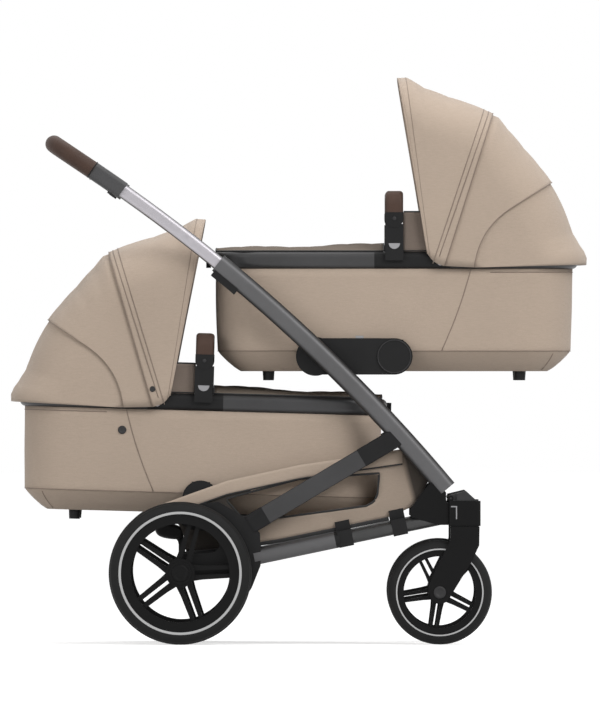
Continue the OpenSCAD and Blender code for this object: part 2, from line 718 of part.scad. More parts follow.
// Rear axle, its hub plates with the lower cot's adapters, and the brake pedal on the axle
hub_shares = [
    [-0.17, 0], [-0.12, 0.14], [0.02, 0.26], [0.46, 0.28], [0.53, 0.35], [0.53, 0.51], [0.46, 0.57],
    [0.12, 0.6], [0, 0.68], [0.04, 0.92], [0.52, 0.98], [0.88, 0.77], [1.09, 0.55], [1.1, 0.39],
    [1.1, 0.1], [0.98, -0.2], [0.86, -0.39], [0.76, -0.05], [0.16, -0.06],
    [0.08, -0.17], [-0.09, -0.17]
];
hub_y0 = bar_y - hub_plate_t / 2;
module rear_axle() color(dark_col) translate([rear_axle_x, 0, rear_axle_z]) {
    cross_rod(axle_tube_d, -hub_y0, hub_y0);
    both() cross_rod(rear_spindle_d, hub_y0, rear_wheel_y + rear_tyre_w * 0.3);
}
module rear_hubs() color(black_col) both() {
    difference() {
        slab(hub_y0, hub_y0 + hub_plate_t) translate([rear_axle_x, rear_axle_z])
            polygon(hub_shares * hub_plate_reach);
        leg_joint(2 * shoe_length, -shoe_length);
        along(sleeve_end, rail_slope, rail_y) rod(sleeve_d, -sleeve_sunk, sleeve_length);
        translate([rear_axle_x, 0, rear_axle_z]) cross_rod(rear_spindle_d, 0, rear_wheel_y);
    }
    difference() {
        translate([lower_mount[0], 0, lower_mount[1]]) cross_rod(adapter_d, adapter_y0, adapter_y1);
        at_lower() pod_space();
    }
    translate([lower_mount[0] - lower_boss_back, 0, lower_mount[1] - lower_boss_drop])
        cross_rod(lower_boss_d, adapter_y1, hub_y0);
}
module brake_pedal() color(black_col) translate([rear_axle_x, 0, rear_axle_z]) difference() {
    union() {
        cross_rod(axle_tube_d * 1.7, -pedal_w * 0.3, pedal_w * 0.3);
        slab(-pedal_w * 0.3, pedal_w * 0.3) polygon([
            [axle_tube_d * 0.85, 0], [-axle_tube_d * 0.85, 0],
            [-pedal_length * 0.8, pedal_up + pedal_t / 2], [-pedal_length * 0.25, pedal_up + pedal_t / 2]
        ]);
        translate([-pedal_length / 2, 0, pedal_up]) linear_extrude(pedal_t)
            rounded(pedal_length, pedal_w, pedal_t);
    }
    cross_rod(axle_tube_d + 2 * fit, -pedal_w, pedal_w);
}

// Upper adapters: a black arm on each bar tube that the upper cot drops into
tab_at = adapter_reach * 0.56;
tab_y0 = adapter_y0 + adapter_t * 0.25;
tab_y1 = adapter_y0 + adapter_t * 0.75;
tab_deep = 9;
disc_proud = 2.5;
module upper_adapters() color(black_col) both() {
    difference() {
        union() {
            slab(adapter_y0, adapter_y1) translate(adapter_hub) {
                circle(d = adapter_hub_d);
                translate([adapter_reach, 0]) circle(d = adapter_d);
                translate([0, -adapter_d / 2]) square([adapter_reach, adapter_d]);
            }
            translate([upper_mount[0], 0, upper_mount[1]])
                cross_rod(adapter_d * 0.94, adapter_y0, adapter_y1 + disc_proud);
        }
        at_upper() pod_space();
        slab(tab_y0 - clear, tab_y1 + clear) translate(adapter_hub)
            translate([tab_at - tab_w / 2 - clear, adapter_d / 2 - tab_deep - over])
                square([tab_w + 2 * clear, tab_deep + 2 * over]);
    }
    translate([adapter_hub[0], 0, adapter_hub[1]]) cross_rod(boss_d, adapter_y1, bar_inner_y);
}
module upper_tab(s) color(button_col) slab(s > 0 ? tab_y0 : -tab_y1, s > 0 ? tab_y1 : -tab_y0)
    translate(adapter_hub) translate([tab_at - tab_w / 2, adapter_d / 2 - tab_deep])
        square([tab_w, tab_deep + tab_proud]);

// Basket: a cloth tray slung between the rails, open above and through both sides
basket_length = wheelbase + basket_tail - basket_nose_gap;
basket_shares = [
    [0, 0.466], [0.237, 0.69], [0.516, 0.852], [0.9, 1], [1, 0.68], [0.978, 0.537], [0.94, 0.42],
    [0.856, 0.324], [0.44, 0.1], [0.19, 0], [0.085, -0.03], [0.07, 0.19], [0.03, 0.33]
];
mouth_shares = [
    [0.23, 0.507], [0.516, 0.71], [0.833, 0.77], [0.825, 0.55], [0.81, 0.475], [0.775, 0.433], [0.44, 0.3],
    [0.29, 0.243]
];
function basket_points(shares) = [
    for (p = shares) [
        rear_axle_x - basket_tail + p[0] * basket_length,
        rear_axle_z + basket_up + p[1] * basket_h
    ]
];
band_proud = 1.5;
module basket() color(fabric_col) {
    outline = basket_points(basket_shares);
    top = [for (i = [0:3]) outline[i]];
    basket_tray(outline);
    both() slab(basket_y1, basket_y1 + band_proud) intersection() {
        polygon(outline);
        polygon(concat(top, [for (i = [3:-1:0]) top[i] - [0, band_h]]));
    }
}
module basket_tray(outline) difference() {
    inner = inset(outline, basket_t);
    slab(-basket_y1, basket_y1) polygon(outline);
    slab(-basket_y0, basket_y0) polygon(inner);
    slab(-basket_y0, basket_y0) polygon([
        inner[0], inner[1], inner[2], inner[3], inner[3] + [0, basket_h], inner[0] + [0, basket_h]
    ]);
    slab(-bar_y, bar_y) polygon(basket_points(mouth_shares));
    both() translate([lower_mount[0] - lower_boss_back, 0, lower_mount[1] - lower_boss_drop])
        cross_rod(lower_boss_d + 2 * over, adapter_y0, bar_y);
    at_lower() translate([-cot_length / 2, -basket_y0, -cot_floor_down - basket_gap])
        cube([cot_length, 2 * basket_y0, cot_rim_up]);
}

// Carrycot pieces, drawn from the cot's mount with the hood toward +X
module at_upper() translate([upper_mount[0], 0, upper_mount[1]]) children();
module at_lower() translate([lower_mount[0], 0, lower_mount[1]]) rotate([0, lower_tilt, 0])
    mirror([1, 0, 0]) children();
module pod_space() both() translate([-pod_w / 2 - clear, 0, -pod_down - clear])
    cube([pod_w + 2 * clear, pod_y1 + clear, adapter_hub_d]);
module cot_shell() color(fabric_col) {
    hl = cot_length / 2;
    w = cot_wall;
    loft([
        ring(hl - cot_end_draw - w, cot_half - cot_side_draw - w, cot_corner_r / 2, w - cot_floor_down),
        ring(hl - cot_wall_draw - w, cot_half - w, cot_corner_r - w, cot_crease_up + w),
        ring(hl - w, cot_half - w, cot_corner_r - w, cot_rim_up),
        ring(hl, cot_half, cot_corner_r, cot_rim_up),
        ring(hl - cot_wall_draw, cot_half, cot_corner_r, cot_crease_up),
        ring(hl - cot_end_draw, cot_half - cot_side_draw, cot_corner_r / 2, -cot_floor_down)
    ]);
}
// Block at the middle of the foot end
end_block_l = 9.5;
end_block_w = 90;
end_block_h = 24;
module cot_fittings() color(black_col) {
    for (x = [-1, 1], y = [-1, 1])
        translate([x * foot_reach, y * (cot_half - cot_side_draw - foot_d), -cot_floor_down - foot_h])
            cylinder(d1 = foot_d * 0.9, d2 = foot_d, h = foot_h);
    both() translate([-pod_w / 2, cot_half, -pod_down])
        cube([pod_w, pod_y1 - cot_half, pod_down + pod_up]);
    translate([-rim_half_l - rim_w / 2 - end_block_l, -end_block_w / 2, rim_mid - end_block_h * 0.6])
        cube([end_block_l, end_block_w, end_block_h]);
}
module rim_section() rotate(90) stadium(rim_h, rim_w);
module rim_ring() translate([0, 0, rim_mid]) {
    cx = rim_half_l - cot_corner_r;
    cy = rim_half_w - cot_corner_r;
    for (k = [0:3]) {
        translate([(k == 0 || k == 3 ? 1 : -1) * cx, (k < 2 ? 1 : -1) * cy, 0]) rotate(k * 90)
            rotate_extrude(angle = 90) translate([cot_corner_r, 0]) rim_section();
    }
    both() translate([-cx, rim_half_w, 0]) rotate([90, 0, 90]) linear_extrude(2 * cx) rim_section();
    for (m = [0, 1]) mirror([m, 0, 0]) translate([rim_half_l, cy, 0]) rotate([90, 0, 0])
        linear_extrude(2 * cy) rim_section();
}
module rim_tube() color(grey_col) difference() {
    rim_ring();
    both() translate([-frame_back, 0, rim_mid - rim_h]) cube([frame_back + frame_ahead, cot_w, 2 * rim_h]);
}
button_top = rim_top + carry_pivot_up * 0.26;
button_sunk = 9;
button_proud = 1;
button_y0 = socket_y1 - button_sunk;
module half_moon(extra) intersection() {
    circle(d = button_w + 2 * extra);
    translate([-button_w, -button_w * 2 + extra]) square([2 * button_w, 2 * button_w]);
}
module side_frames() color(black_col) both() {
    difference() {
        union() {
            translate([-frame_back, rim_half_w, rim_mid]) rotate([90, 0, 90])
                linear_extrude(frame_back + frame_ahead) rim_section();
            translate([-socket_length / 2, ear_y0, rim_mid])
                cube([socket_length, socket_y1 - ear_y0, carry_pivot - rim_mid - socket_length * 0.3]);
        }
        translate([0, 0, carry_pivot])
            cross_rod(socket_length + 2 * clear, knuckle_y0 - clear, socket_y1 + over);
        slab(button_y0 - button_travel - clear, socket_y1 + over) translate([0, button_top]) half_moon(clear);
    }
    slab(ear_y0, knuckle_y0 - clear) {
        translate([0, carry_pivot]) circle(d = socket_length * 0.8);
        translate([-socket_length * 0.4, rim_top]) square([socket_length * 0.8, carry_pivot_up]);
    }
    translate([0, 0, carry_pivot]) cross_rod(carry_pin_d, knuckle_y0 - 2 * clear, socket_y1 - hood_wall);
    translate([hood_ahead, 0, hood_z]) cross_rod(hood_pin_d, rim_half_w, front_half - hood_wall - hood_gap);
}
carry_split = socket_length * 0.34;
carry_y = (knuckle_y0 + socket_y1) / 2;
module carry_knuckles() color(black_col) both() difference() {
    slab(knuckle_y0, socket_y1) translate([0, carry_pivot]) {
        difference() {
            circle(d = socket_length);
            translate([-socket_length, 0]) square([2 * socket_length, socket_length]);
        }
        translate([-socket_length / 2, 0]) square([socket_length, carry_split]);
    }
    translate([0, 0, carry_pivot]) cross_rod(carry_pin_d + 2 * fit, 0, socket_y1 - hood_wall + clear);
}
module carry_grip() color(brown_col) translate([0, 0, carry_pivot]) {
    top = carry_rise - carry_t / 2;
    both() {
        translate([0, carry_y, carry_split]) linear_extrude(top - carry_bend - carry_split)
            stadium(carry_w, carry_t);
        translate([0, carry_y - carry_bend, top - carry_bend]) rotate([90, 0, 90])
            rotate_extrude(angle = 90) translate([carry_bend, 0]) rotate(90) stadium(carry_w, carry_t);
    }
    translate([0, 0, top]) rotate([90, 0, 0])
        linear_extrude(2 * (carry_y - carry_bend), center = true) stadium(carry_w, carry_t);
}
module cot_button(s) color(button_col)
    slab(s > 0 ? button_y0 : -socket_y1 - button_proud, s > 0 ? socket_y1 + button_proud : -button_y0)
        translate([0, button_top]) half_moon(0);

// Mattress: drawn-in sides, a crowned top and sewn cross channels
mattress_inset_shares = [0, 0.04, 0.16, 0.36, 0.6, 0.82];
function mattress_z(x, inset_share) =
    cot_wall - cot_floor_down + clear + mattress_t
    + mattress_crown * (1 - pow(1 - inset_share, 2))
    - channel_depth * pow(cos(180 * channel_count * x / cot_length), 8) * min(1, 4 * inset_share);
module mattress() color(lining_col) {
    z0 = cot_wall - cot_floor_down + clear;
    hl = cot_length / 2 - cot_end_draw - cot_wall - over;
    hw = cot_half - cot_side_draw - cot_wall - over;
    hl1 = hl + cot_end_draw * 0.22;
    hw1 = hw + cot_side_draw * 0.22;
    base = [
        ring(hl, hw, cot_corner_r / 2, z0, 9),
        ring(hl1, hw1, cot_corner_r * 0.6, z0 + mattress_t * 0.4, 9),
        ring(hl1 - over / 2, hw1 - over / 2, cot_corner_r * 0.6, z0 + mattress_t * 0.8, 9)
    ];
    tops = [
        for (q = mattress_inset_shares) [
            for (p = ring((hl1 - over) * (1 - q), (hw1 - over) * (1 - q), cot_corner_r * 0.58 * (1 - q), 0, 9))
                [p[0], p[1], mattress_z(p[0], q)]
        ]
    ];
    rings = concat(base, tops);
    n = len(rings[0]);
    m = len(rings);
    sides = [
        for (k = [0:m - 2], i = [0:n - 1])
            let (j = (i + 1) % n, a = k * n + i, b = k * n + j, c = a + n, d = b + n)
                each [[a, c, d], [a, d, b]]
    ];
    peak = [0, 0, mattress_z(0, 1)];
    fan = [for (i = [0:n - 1]) [(m - 1) * n + i, m * n, (m - 1) * n + (i + 1) % n]];
    polyhedron(concat([for (r = rings) each r], [peak]),
        concat(sides, [[for (i = [0:n - 1]) i]], fan), convexity = 6);
}

// Apron: a crowned cloth over the foot half, with folds, and a wing inside each end of the hood
apron_rows = 18;
apron_cols = 14;
apron_half = rim_half_w;
apron_from = -rim_half_l;
apron_to = -socket_length / 2 - fillet;
wing_from = socket_length / 2 + fillet;
function apron_z(i, j) =
    let (v = 1 - 2 * j / apron_cols, u = i / apron_rows)
        rim_top + clear / 2 + apron_t
        + apron_crown * (1 - pow(abs(v), 2.6)) * (0.35 + 0.65 * u)
        + apron_fold * sin(540 * u) * (1 - v * v) * (1 - u) * u * 4;
function apron_y(i, j) =
    let (v = 1 - 2 * j / apron_cols, u = i / apron_rows, near = max(0, 1 - u * 5))
        v * (apron_half - near * near * cot_corner_r * 0.9);
module apron() color(fabric_col) {
    grid = [for (i = [0:apron_rows]) [
        for (j = [0:apron_cols])
            [apron_from + (apron_to - apron_from) * i / apron_rows, apron_y(i, j), apron_z(i, j)]
    ]];
    under = [for (r = grid) [for (p = r) p - [0, 0, apron_t]]];
    sheet(grid, under);
    both() slab(rim_half_w - apron_t, rim_half_w) translate([wing_from, rim_top + clear / 2])
        square([hood_ahead - wing_from, wing_h]);
}

// Hood: three nested cloth shells that turn about one pivot, and the two bows inside them.
// An arch is listed as sideways place and distance from its tip, from the shoulder over the top
function arch(half, n = 7) =
    let (
        b = hood_shoulder_r, c = hood_crown,
        side = concat(
            [for (i = [0:n]) let (a = 90 * i / n) [half - b + b * cos(a), c + b - b * sin(a)]],
            [[(half - b) * 0.5, c * 0.25]]
        )
    )
        concat(side, [[0, 0]], [for (i = [len(side) - 1:-1:0]) [-side[i][0], side[i][1]]]);
// One arch of a panel: up its bent side from a foot beside the pivot, over the top and down again
side_steps = 4;
function station(half, reach, turn, foot, bend) =
    let (
        tip = reach * [cos(turn), sin(turn)],
        run = (tip - foot) / norm(tip - foot),
        knee = foot + (tip - foot) * hood_knee_share + bend * [-run[1], run[0]],
        fall = (knee - tip) / norm(knee - tip),
        shoulder = tip + fall * (hood_shoulder_r + hood_crown),
        side = [
            for (i = [0:side_steps - 1])
                let (k = i / side_steps)
                    foot * pow(1 - k, 2) + knee * 2 * k * (1 - k) + shoulder * k * k
        ],
        up = [for (p = side) [hood_ahead + p[0], half, hood_z + p[1]]],
        down = [for (i = [side_steps - 1:-1:0]) [up[i][0], -half, up[i][2]]],
        over_top = [
            for (p = arch(half))
                let (at = tip + fall * p[1])
                    [hood_ahead + at[0], p[0], hood_z + at[1]]
        ]
    )
        concat(up, over_top, down);
module panel(half, reaches, turns, feet, bends) {
    n = len(turns) - 1;
    sheet(
        [for (i = [0:n]) station(half, reaches[i], turns[i], feet[i], bends[i])],
        [for (i = [0:n]) station(half - hood_wall, reaches[i] - hood_wall, turns[i], feet[i], bends[i])]
    );
}
// Shares from 0 to 1 along a list
function steps(list) = [for (i = [0:len(list) - 1]) i / (len(list) - 1)];
front_feet = [
    for (k = steps(front_turns))
        [hood_tuck * k - hood_corner_x * (1 - k), hood_corner_z * pow(1 - k, 3) - hood_drop * k]
];
mid_feet = [
    for (k = steps(mid_turns)) [mid_tuck + (mid_hem - mid_tuck) * k, (hood_drop - back_drop) * k - hood_drop]
];
back_feet = [for (k = steps(back_turns)) [mid_hem - hood_wall + (back_hem - mid_hem) * k, -back_drop]];
module hood_front() color(fabric_col)
    panel(front_half, hood_reach * front_reach_shares, front_turns, front_feet, 0 * steps(front_turns));
module hood_mid() color(fabric_col)
    panel(mid_half, mid_reach * mid_reach_shares, mid_turns, mid_feet,
        [for (k = steps(mid_turns)) hood_bend * k * k]);
module hood_back() color(fabric_col)
    panel(back_half, back_reach * back_reach_shares, back_turns, back_feet,
        [for (k = steps(back_turns)) hood_bend * pow(1 - k, 2)]);
module tomb(half, reach, r) {
    cx = half - r;
    cy = reach - r;
    translate([-cx - r, 0]) square([2 * (cx + r), cy]);
    translate([-cx, 0]) square([2 * cx, cy + r]);
    for (s = [-1, 1]) translate([s * cx, cy]) circle(r);
}
// A bow: a flat strip bent over the cot, with a bored plate on the pivot at each end
module bow(half, reach, turn) color(silver_col)
    translate([hood_ahead, 0, hood_z]) rotate([0, 90 - turn, 0]) difference() {
        r = hood_shoulder_r + 2 * fillet;
        top = reach - hood_crown - fillet;
        union() {
            rotate([90, 0, 90]) linear_extrude(bow_w, center = true) difference() {
                tomb(half, top, r);
                translate([0, -over]) tomb(half - hood_wall, top + over - hood_wall, r - hood_wall);
            }
            both() cross_rod(bow_end_d, half - hood_wall * 1.4, half - hood_wall * 0.2);
        }
        cross_rod(hood_pin_d + 2 * fit, -cot_w, cot_w);
    }
module hood_front_bow() bow(front_half - hood_wall, hood_reach * front_bow_share - hood_wall, front_bow_turn);
module hood_mid_bow() bow(mid_half - hood_wall, mid_reach * mid_bow_share - hood_wall, mid_bow_turn);

// Each piece of each cot, set at its mount
module upper_shell() at_upper() cot_shell();
module upper_fittings() at_upper() cot_fittings();
module upper_rim_tube() at_upper() rim_tube();
module upper_side_frames() at_upper() side_frames();
module upper_apron() at_upper() apron();
module upper_mattress() at_upper() mattress();
module upper_carry_grip() at_upper() carry_grip();
module upper_carry_knuckles() at_upper() carry_knuckles();
module upper_button_left() at_upper() cot_button(1);
module upper_button_right() at_upper() cot_button(-1);
module upper_hood_front_bow() at_upper() hood_front_bow();
module upper_hood_mid_bow() at_upper() hood_mid_bow();
module upper_hood_front() at_upper() hood_front();
module upper_hood_mid() at_upper() hood_mid();
module upper_hood_back() at_upper() hood_back();
module lower_shell() at_lower() cot_shell();
module lower_fittings() at_lower() cot_fittings();
module lower_rim_tube() at_lower() rim_tube();
module lower_side_frames() at_lower() side_frames();
module lower_apron() at_lower() apron();
module lower_mattress() at_lower() mattress();
module lower_carry_grip() at_lower() carry_grip();
module lower_carry_knuckles() at_lower() carry_knuckles();
module lower_button_left() at_lower() cot_button(1);
module lower_button_right() at_lower() cot_button(-1);
module lower_hood_front_bow() at_lower() hood_front_bow();
module lower_hood_mid_bow() at_lower() hood_mid_bow();
module lower_hood_front() at_lower() hood_front();
module lower_hood_mid() at_lower() hood_mid();
module lower_hood_back() at_lower() hood_back();
module rear_tyre_left() rear_tyre(1);
module rear_tyre_right() rear_tyre(-1);
module rear_rim_left() rear_rim(1);
module rear_rim_right() rear_rim(-1);
module front_fork_left() front_fork(1);
module front_fork_right() front_fork(-1);
module front_tyre_left() front_tyre(1);
module front_tyre_right() front_tyre(-1);
module front_rim_left() front_rim(1);
module front_rim_right() front_rim(-1);
module swivel_lock_left() swivel_lock(1);
module swivel_lock_right() swivel_lock(-1);
module upper_tab_left() upper_tab(1);
module upper_tab_right() upper_tab(-1);

main_tubes();
rear_legs();
frame_joints();
lower_rails();
lower_sleeves();
front_carrier();
rear_axle();
rear_hubs();
basket();
upper_adapters();
handle_tubes();
handle_caps();
handle_grip();
handle_triggers();
fold_sliders();
brake_pedal();
rear_tyre_left();
rear_tyre_right();
rear_rim_left();
rear_rim_right();
front_fork_left();
front_fork_right();
front_tyre_left();
front_tyre_right();
front_rim_left();
front_rim_right();
swivel_lock_left();
swivel_lock_right();
upper_tab_left();
upper_tab_right();
upper_shell();
upper_fittings();
upper_rim_tube();
upper_side_frames();
upper_apron();
upper_mattress();
upper_carry_grip();
upper_carry_knuckles();
upper_button_left();
upper_button_right();
upper_hood_front_bow();
upper_hood_mid_bow();
upper_hood_front();
upper_hood_mid();
upper_hood_back();
lower_shell();
lower_fittings();
lower_rim_tube();
lower_side_frames();
lower_apron();
lower_mattress();
lower_carry_grip();
lower_carry_knuckles();
lower_button_left();
lower_button_right();
lower_hood_front_bow();
lower_hood_mid_bow();
lower_hood_front();
lower_hood_mid();
lower_hood_back();
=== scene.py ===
import math

import bmesh
import bpy
import numpy as np
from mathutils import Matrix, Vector


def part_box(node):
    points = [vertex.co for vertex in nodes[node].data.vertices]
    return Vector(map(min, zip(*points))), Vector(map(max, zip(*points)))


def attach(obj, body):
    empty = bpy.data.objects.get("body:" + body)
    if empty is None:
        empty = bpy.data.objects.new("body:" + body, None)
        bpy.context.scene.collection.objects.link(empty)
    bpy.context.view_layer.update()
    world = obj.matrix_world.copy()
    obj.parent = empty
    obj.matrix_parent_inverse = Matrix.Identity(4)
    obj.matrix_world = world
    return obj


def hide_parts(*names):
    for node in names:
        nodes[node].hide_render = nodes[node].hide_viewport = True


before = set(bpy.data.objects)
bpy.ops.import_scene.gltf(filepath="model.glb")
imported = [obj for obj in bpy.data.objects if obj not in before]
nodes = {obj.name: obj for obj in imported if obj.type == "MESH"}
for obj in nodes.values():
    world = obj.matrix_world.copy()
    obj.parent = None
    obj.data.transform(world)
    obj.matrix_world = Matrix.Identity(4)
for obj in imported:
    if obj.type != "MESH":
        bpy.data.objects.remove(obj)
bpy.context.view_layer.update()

# The studio is a white floor under a white sky, with one broad lamp above the camera's right
# shoulder, a weaker one on the left and one overhead. The camera is a long lens square to the
# pram's side, and one row of the picture is a pixel's worth of metres at the near wheels.
pixel, rows_in_picture, ground_row = 0.002028, 720, 644.5
lens_reach, sensor = 40.0, 36
near_side = -0.23
scene = bpy.context.scene
scene.view_settings.view_transform = "Standard"
camera = bpy.data.objects.new("camera", bpy.data.cameras.new("camera"))
scene.collection.objects.link(camera)
camera.data.sensor_fit = "VERTICAL"
camera.data.sensor_height = sensor
camera.data.lens = sensor * lens_reach / (rows_in_picture * pixel)
camera.location = (0.0001, near_side - lens_reach, (ground_row - rows_in_picture / 2) * pixel)
camera.rotation_euler = (math.pi / 2, 0, 0)
scene.camera = camera


def lamp(name, place, target, size, power):
    light = bpy.data.lights.new(name, "AREA")
    light.size = size
    light.energy = power
    obj = bpy.data.objects.new(name, light)
    obj.location = place
    obj.rotation_euler = (Vector(target) - Vector(place)).to_track_quat("-Z", "Y").to_euler()
    scene.collection.objects.link(obj)


lamp("key_lamp", (2.6, -3.4, 3.4), (0, 0, 0.55), 2.6, 124)
lamp("fill_lamp", (-3.2, -3.4, 1.8), (0, 0, 0.55), 2.4, 37)
lamp("top_lamp", (0.2, 0.6, 4.2), (0, 0, 0.4), 3.0, 60)


class Value:
    """A shader socket that takes part in Python sums."""

    def __init__(self, finish, socket):
        self.finish = finish
        self.socket = socket

    def sum(self, operation, a, b=0.0):
        return self.finish.node("ShaderNodeMath", {"operation": operation}, {0: a, 1: b})

    def __add__(self, other):
        return self.sum("ADD", self, other)

    def __sub__(self, other):
        return self.sum("SUBTRACT", self, other)

    def __rsub__(self, other):
        return self.sum("SUBTRACT", other, self)

    def __mul__(self, other):
        return self.sum("MULTIPLY", self, other)

    def __pow__(self, other):
        return self.sum("POWER", self, other)

    def __lt__(self, other):
        return self.sum("LESS_THAN", self, other)

    def __gt__(self, other):
        return self.sum("GREATER_THAN", self, other)

    def sine(self):
        return self.sum("SINE", self)

    def size(self):
        return self.sum("ABSOLUTE", self)

    __radd__ = __add__
    __rmul__ = __mul__


class Nodes:
    """A node tree, to which expressions add nodes."""

    def __init__(self, tree):
        self.tree = tree

    def node(self, kind, settings, sockets, out=0):
        made = self.tree.nodes.new(kind)
        for key, value in settings.items():
            setattr(made, key, value)
        for key, value in sockets.items():
            self.plug(made.inputs[key], value)
        return Value(self, made.outputs[out])

    def plug(self, socket, value):
        if isinstance(value, Value):
            self.tree.links.new(value.socket, socket)
        else:
            socket.default_value = value

    def shows_background(self):
        """One for the rays that see the studio's white: the camera's, mirrored and refracted ones."""
        kinds = [
            self.node("ShaderNodeLightPath", {}, {}, kind)
            for kind in ("Is Camera Ray", "Is Glossy Ray", "Is Transmission Ray")
        ]
        return kinds[0] + kinds[1] + kinds[2]


class Finish(Nodes):
    """One material on the object."""

    def __init__(self, name, **sockets):
        self.material = bpy.data.materials.new(name)
        self.material.use_nodes = True
        super().__init__(self.material.node_tree)
        self.shader = self.tree.nodes["Principled BSDF"]
        self.place = self.node("ShaderNodeTexCoord", {}, {}, "Object")
        self.set(**sockets)

    def set(self, **sockets):
        for key, value in sockets.items():
            label = key.replace("_", " ").title().replace("Ior", "IOR")
            self.plug(self.shader.inputs[label], value)

    def axis(self, letter):
        return self.node("ShaderNodeSeparateXYZ", {}, {0: self.place}, letter)

    def noise(self, scale, detail=2.0):
        return self.node(
            "ShaderNodeTexNoise", {}, {"Vector": self.place, "Scale": scale, "Detail": detail}
        )

    def drawn_out(self, scale, detail):
        """Noise with a scale of its own along each axis, so that it runs in streaks."""
        place = self.node("ShaderNodeMapping", {}, {0: self.place, "Scale": scale})
        return self.node("ShaderNodeTexNoise", {}, {"Vector": place, "Scale": 1.0, "Detail": detail})

    def mix(self, low, high, share):
        return self.node("ShaderNodeMix", {"data_type": "RGBA"}, {0: share, 6: low, 7: high}, 2)

    def bump(self, height, strength, distance):
        return self.node(
            "ShaderNodeBump", {}, {"Strength": strength, "Distance": distance, "Height": height}
        )


def shade(value, tint=(1.0, 1.0, 1.0)):
    return (value * tint[0], value * tint[1], value * tint[2], 1.0)


def dress(finish, *names):
    for name in names:
        nodes[name].data.materials.clear()
        nodes[name].data.materials.append(finish.material)


floor_mesh = bpy.data.meshes.new("floor")
floor_mesh.from_pydata([(-40, -30, 0), (40, -30, 0), (40, 60, 0), (-40, 60, 0)], [], [(0, 1, 2, 3)])
floor = bpy.data.objects.new("floor", floor_mesh)
scene.collection.objects.link(floor)
white = Finish("white_floor", roughness=1.0)
seen = white.shows_background()
white.set(base_color=white.mix(shade(0.4), shade(0.9), seen))
glow = white.node("ShaderNodeEmission", {}, {"Strength": seen * 0.46})
both = white.node("ShaderNodeAddShader", {}, {0: Value(white, white.shader.outputs[0]), 1: glow})
white.plug(white.tree.nodes["Material Output"].inputs["Surface"], both)
floor_mesh.materials.append(white.material)

world = bpy.data.worlds.new("studio")
scene.world = world
world.use_nodes = True
sky = Nodes(world.node_tree)
sky.plug(sky.tree.nodes["Background"].inputs["Color"], (1, 1, 1, 1))
sky.plug(sky.tree.nodes["Background"].inputs["Strength"], 0.6 + 0.4 * sky.shows_background())

# The main tubes, rear legs and lower sleeves are aluminium, painted satin grey: a fine orange
# peel in the paint, a little cloudiness in the gloss, and small scuffs where hands reach. The
# main tubes are drawn to one arc, and their colour has painted shade along the narrow edges.
bar_centre, bar_radius = (-2.33318, -1.88477), 3.43


def off_the_arc(finish):
    """How far a point of the push bar lies inside or outside the bar's own arc."""
    x = finish.axis("X") - bar_centre[0]
    z = finish.axis("Z") - bar_centre[1]
    return ((x * x + z * z) ** 0.5 - bar_radius).size()


def painted(name, low, high, shaded_edge_from=None):
    finish = Finish(name, metallic=0.6, coat_weight=0.06)
    cloud = finish.noise(9, 3)
    scuff = finish.noise(60, 6) ** 6
    colour = finish.mix(shade(low, (1, 0.98, 1)), shade(high, (1, 0.99, 1.02)), cloud + scuff)
    if shaded_edge_from:
        # Painted shade: the colour darkens towards the narrow edges of the bar's arc.
        colour = finish.mix(colour, shade(low * 0.3), (off_the_arc(finish) - shaded_edge_from) * 140)
    finish.set(
        base_color=colour,
        roughness=0.44 + 0.16 * cloud,
        normal=finish.bump(finish.noise(1400, 1), 0.05, 0.0003),
    )
    return finish


dress(painted("dark_grey_paint", 0.03, 0.053), "rear_legs", "upper_rim_tube", "lower_rim_tube")
dress(painted("bar_paint", 0.07, 0.115, 0.0125), "main_tubes")
dress(painted("grey_satin_paint", 0.066, 0.108), "lower_sleeves")

# The sliding handle tubes and the hood bows are drawn aluminium with a clear satin anodising,
# brushed along their length. The handle tubes have painted shade, a dark band along both narrow edges.


def anodised(name, shaded_edge_from=None):
    finish = Finish(name, metallic=0.7)
    grain = finish.drawn_out((60, 900, 60), 3.0)
    cold = (1, 0.96, 1.02)
    colour = finish.mix(shade(0.365, cold), shade(0.445, cold), grain)
    if shaded_edge_from:
        # Painted shade: a dark band along the handle tube's narrow edges, which also dulls their
        # highlight.
        colour = finish.mix(colour, shade(0.07), (off_the_arc(finish) - shaded_edge_from) * 400)
    finish.set(
        base_color=colour,
        roughness=0.36 + 0.14 * grain,
        normal=finish.bump(grain, 0.06, 0.0002),
    )
    return finish


dress(anodised("satin_anodised_tube", 0.0112), "handle_tubes")
bow_tube = anodised("satin_bow_tube")
for cot in ("upper", "lower"):
    dress(bow_tube, cot + "_hood_front_bow", cot + "_hood_mid_bow")

# The rear axle and the lower rails are steel tube in a dark satin paint. The axle runs through
# both hub plates, and each rail is pushed into its sleeve and held there by the black clamps.
dark_paint = Finish("dark_satin_paint", metallic=0.4)
haze = dark_paint.noise(25, 4)
dark_paint.set(
    base_color=dark_paint.mix(shade(0.03), shade(0.055), haze),
    roughness=0.38 + 0.14 * haze,
    normal=dark_paint.bump(dark_paint.noise(1300, 1), 0.05, 0.0003),
)
dress(dark_paint, "rear_axle", "lower_rails")

# Joints, brackets, forks, adapters and cot frames are moulded black nylon: a fine spark-eroded
# grain, slightly shinier where it has been rubbed.


def moulded(name, low, high, rough, gloss=0.16):
    finish = Finish(name, specular_ior_level=gloss)
    cloud = finish.noise(18, 4)
    finish.set(
        base_color=finish.mix(shade(low, (1, 0.99, 1.02)), shade(high, (1, 0.99, 1.02)), cloud),
        roughness=rough + 0.14 * cloud,
        normal=finish.bump(finish.noise(1100, 3), 0.18, 0.0004),
    )
    return finish


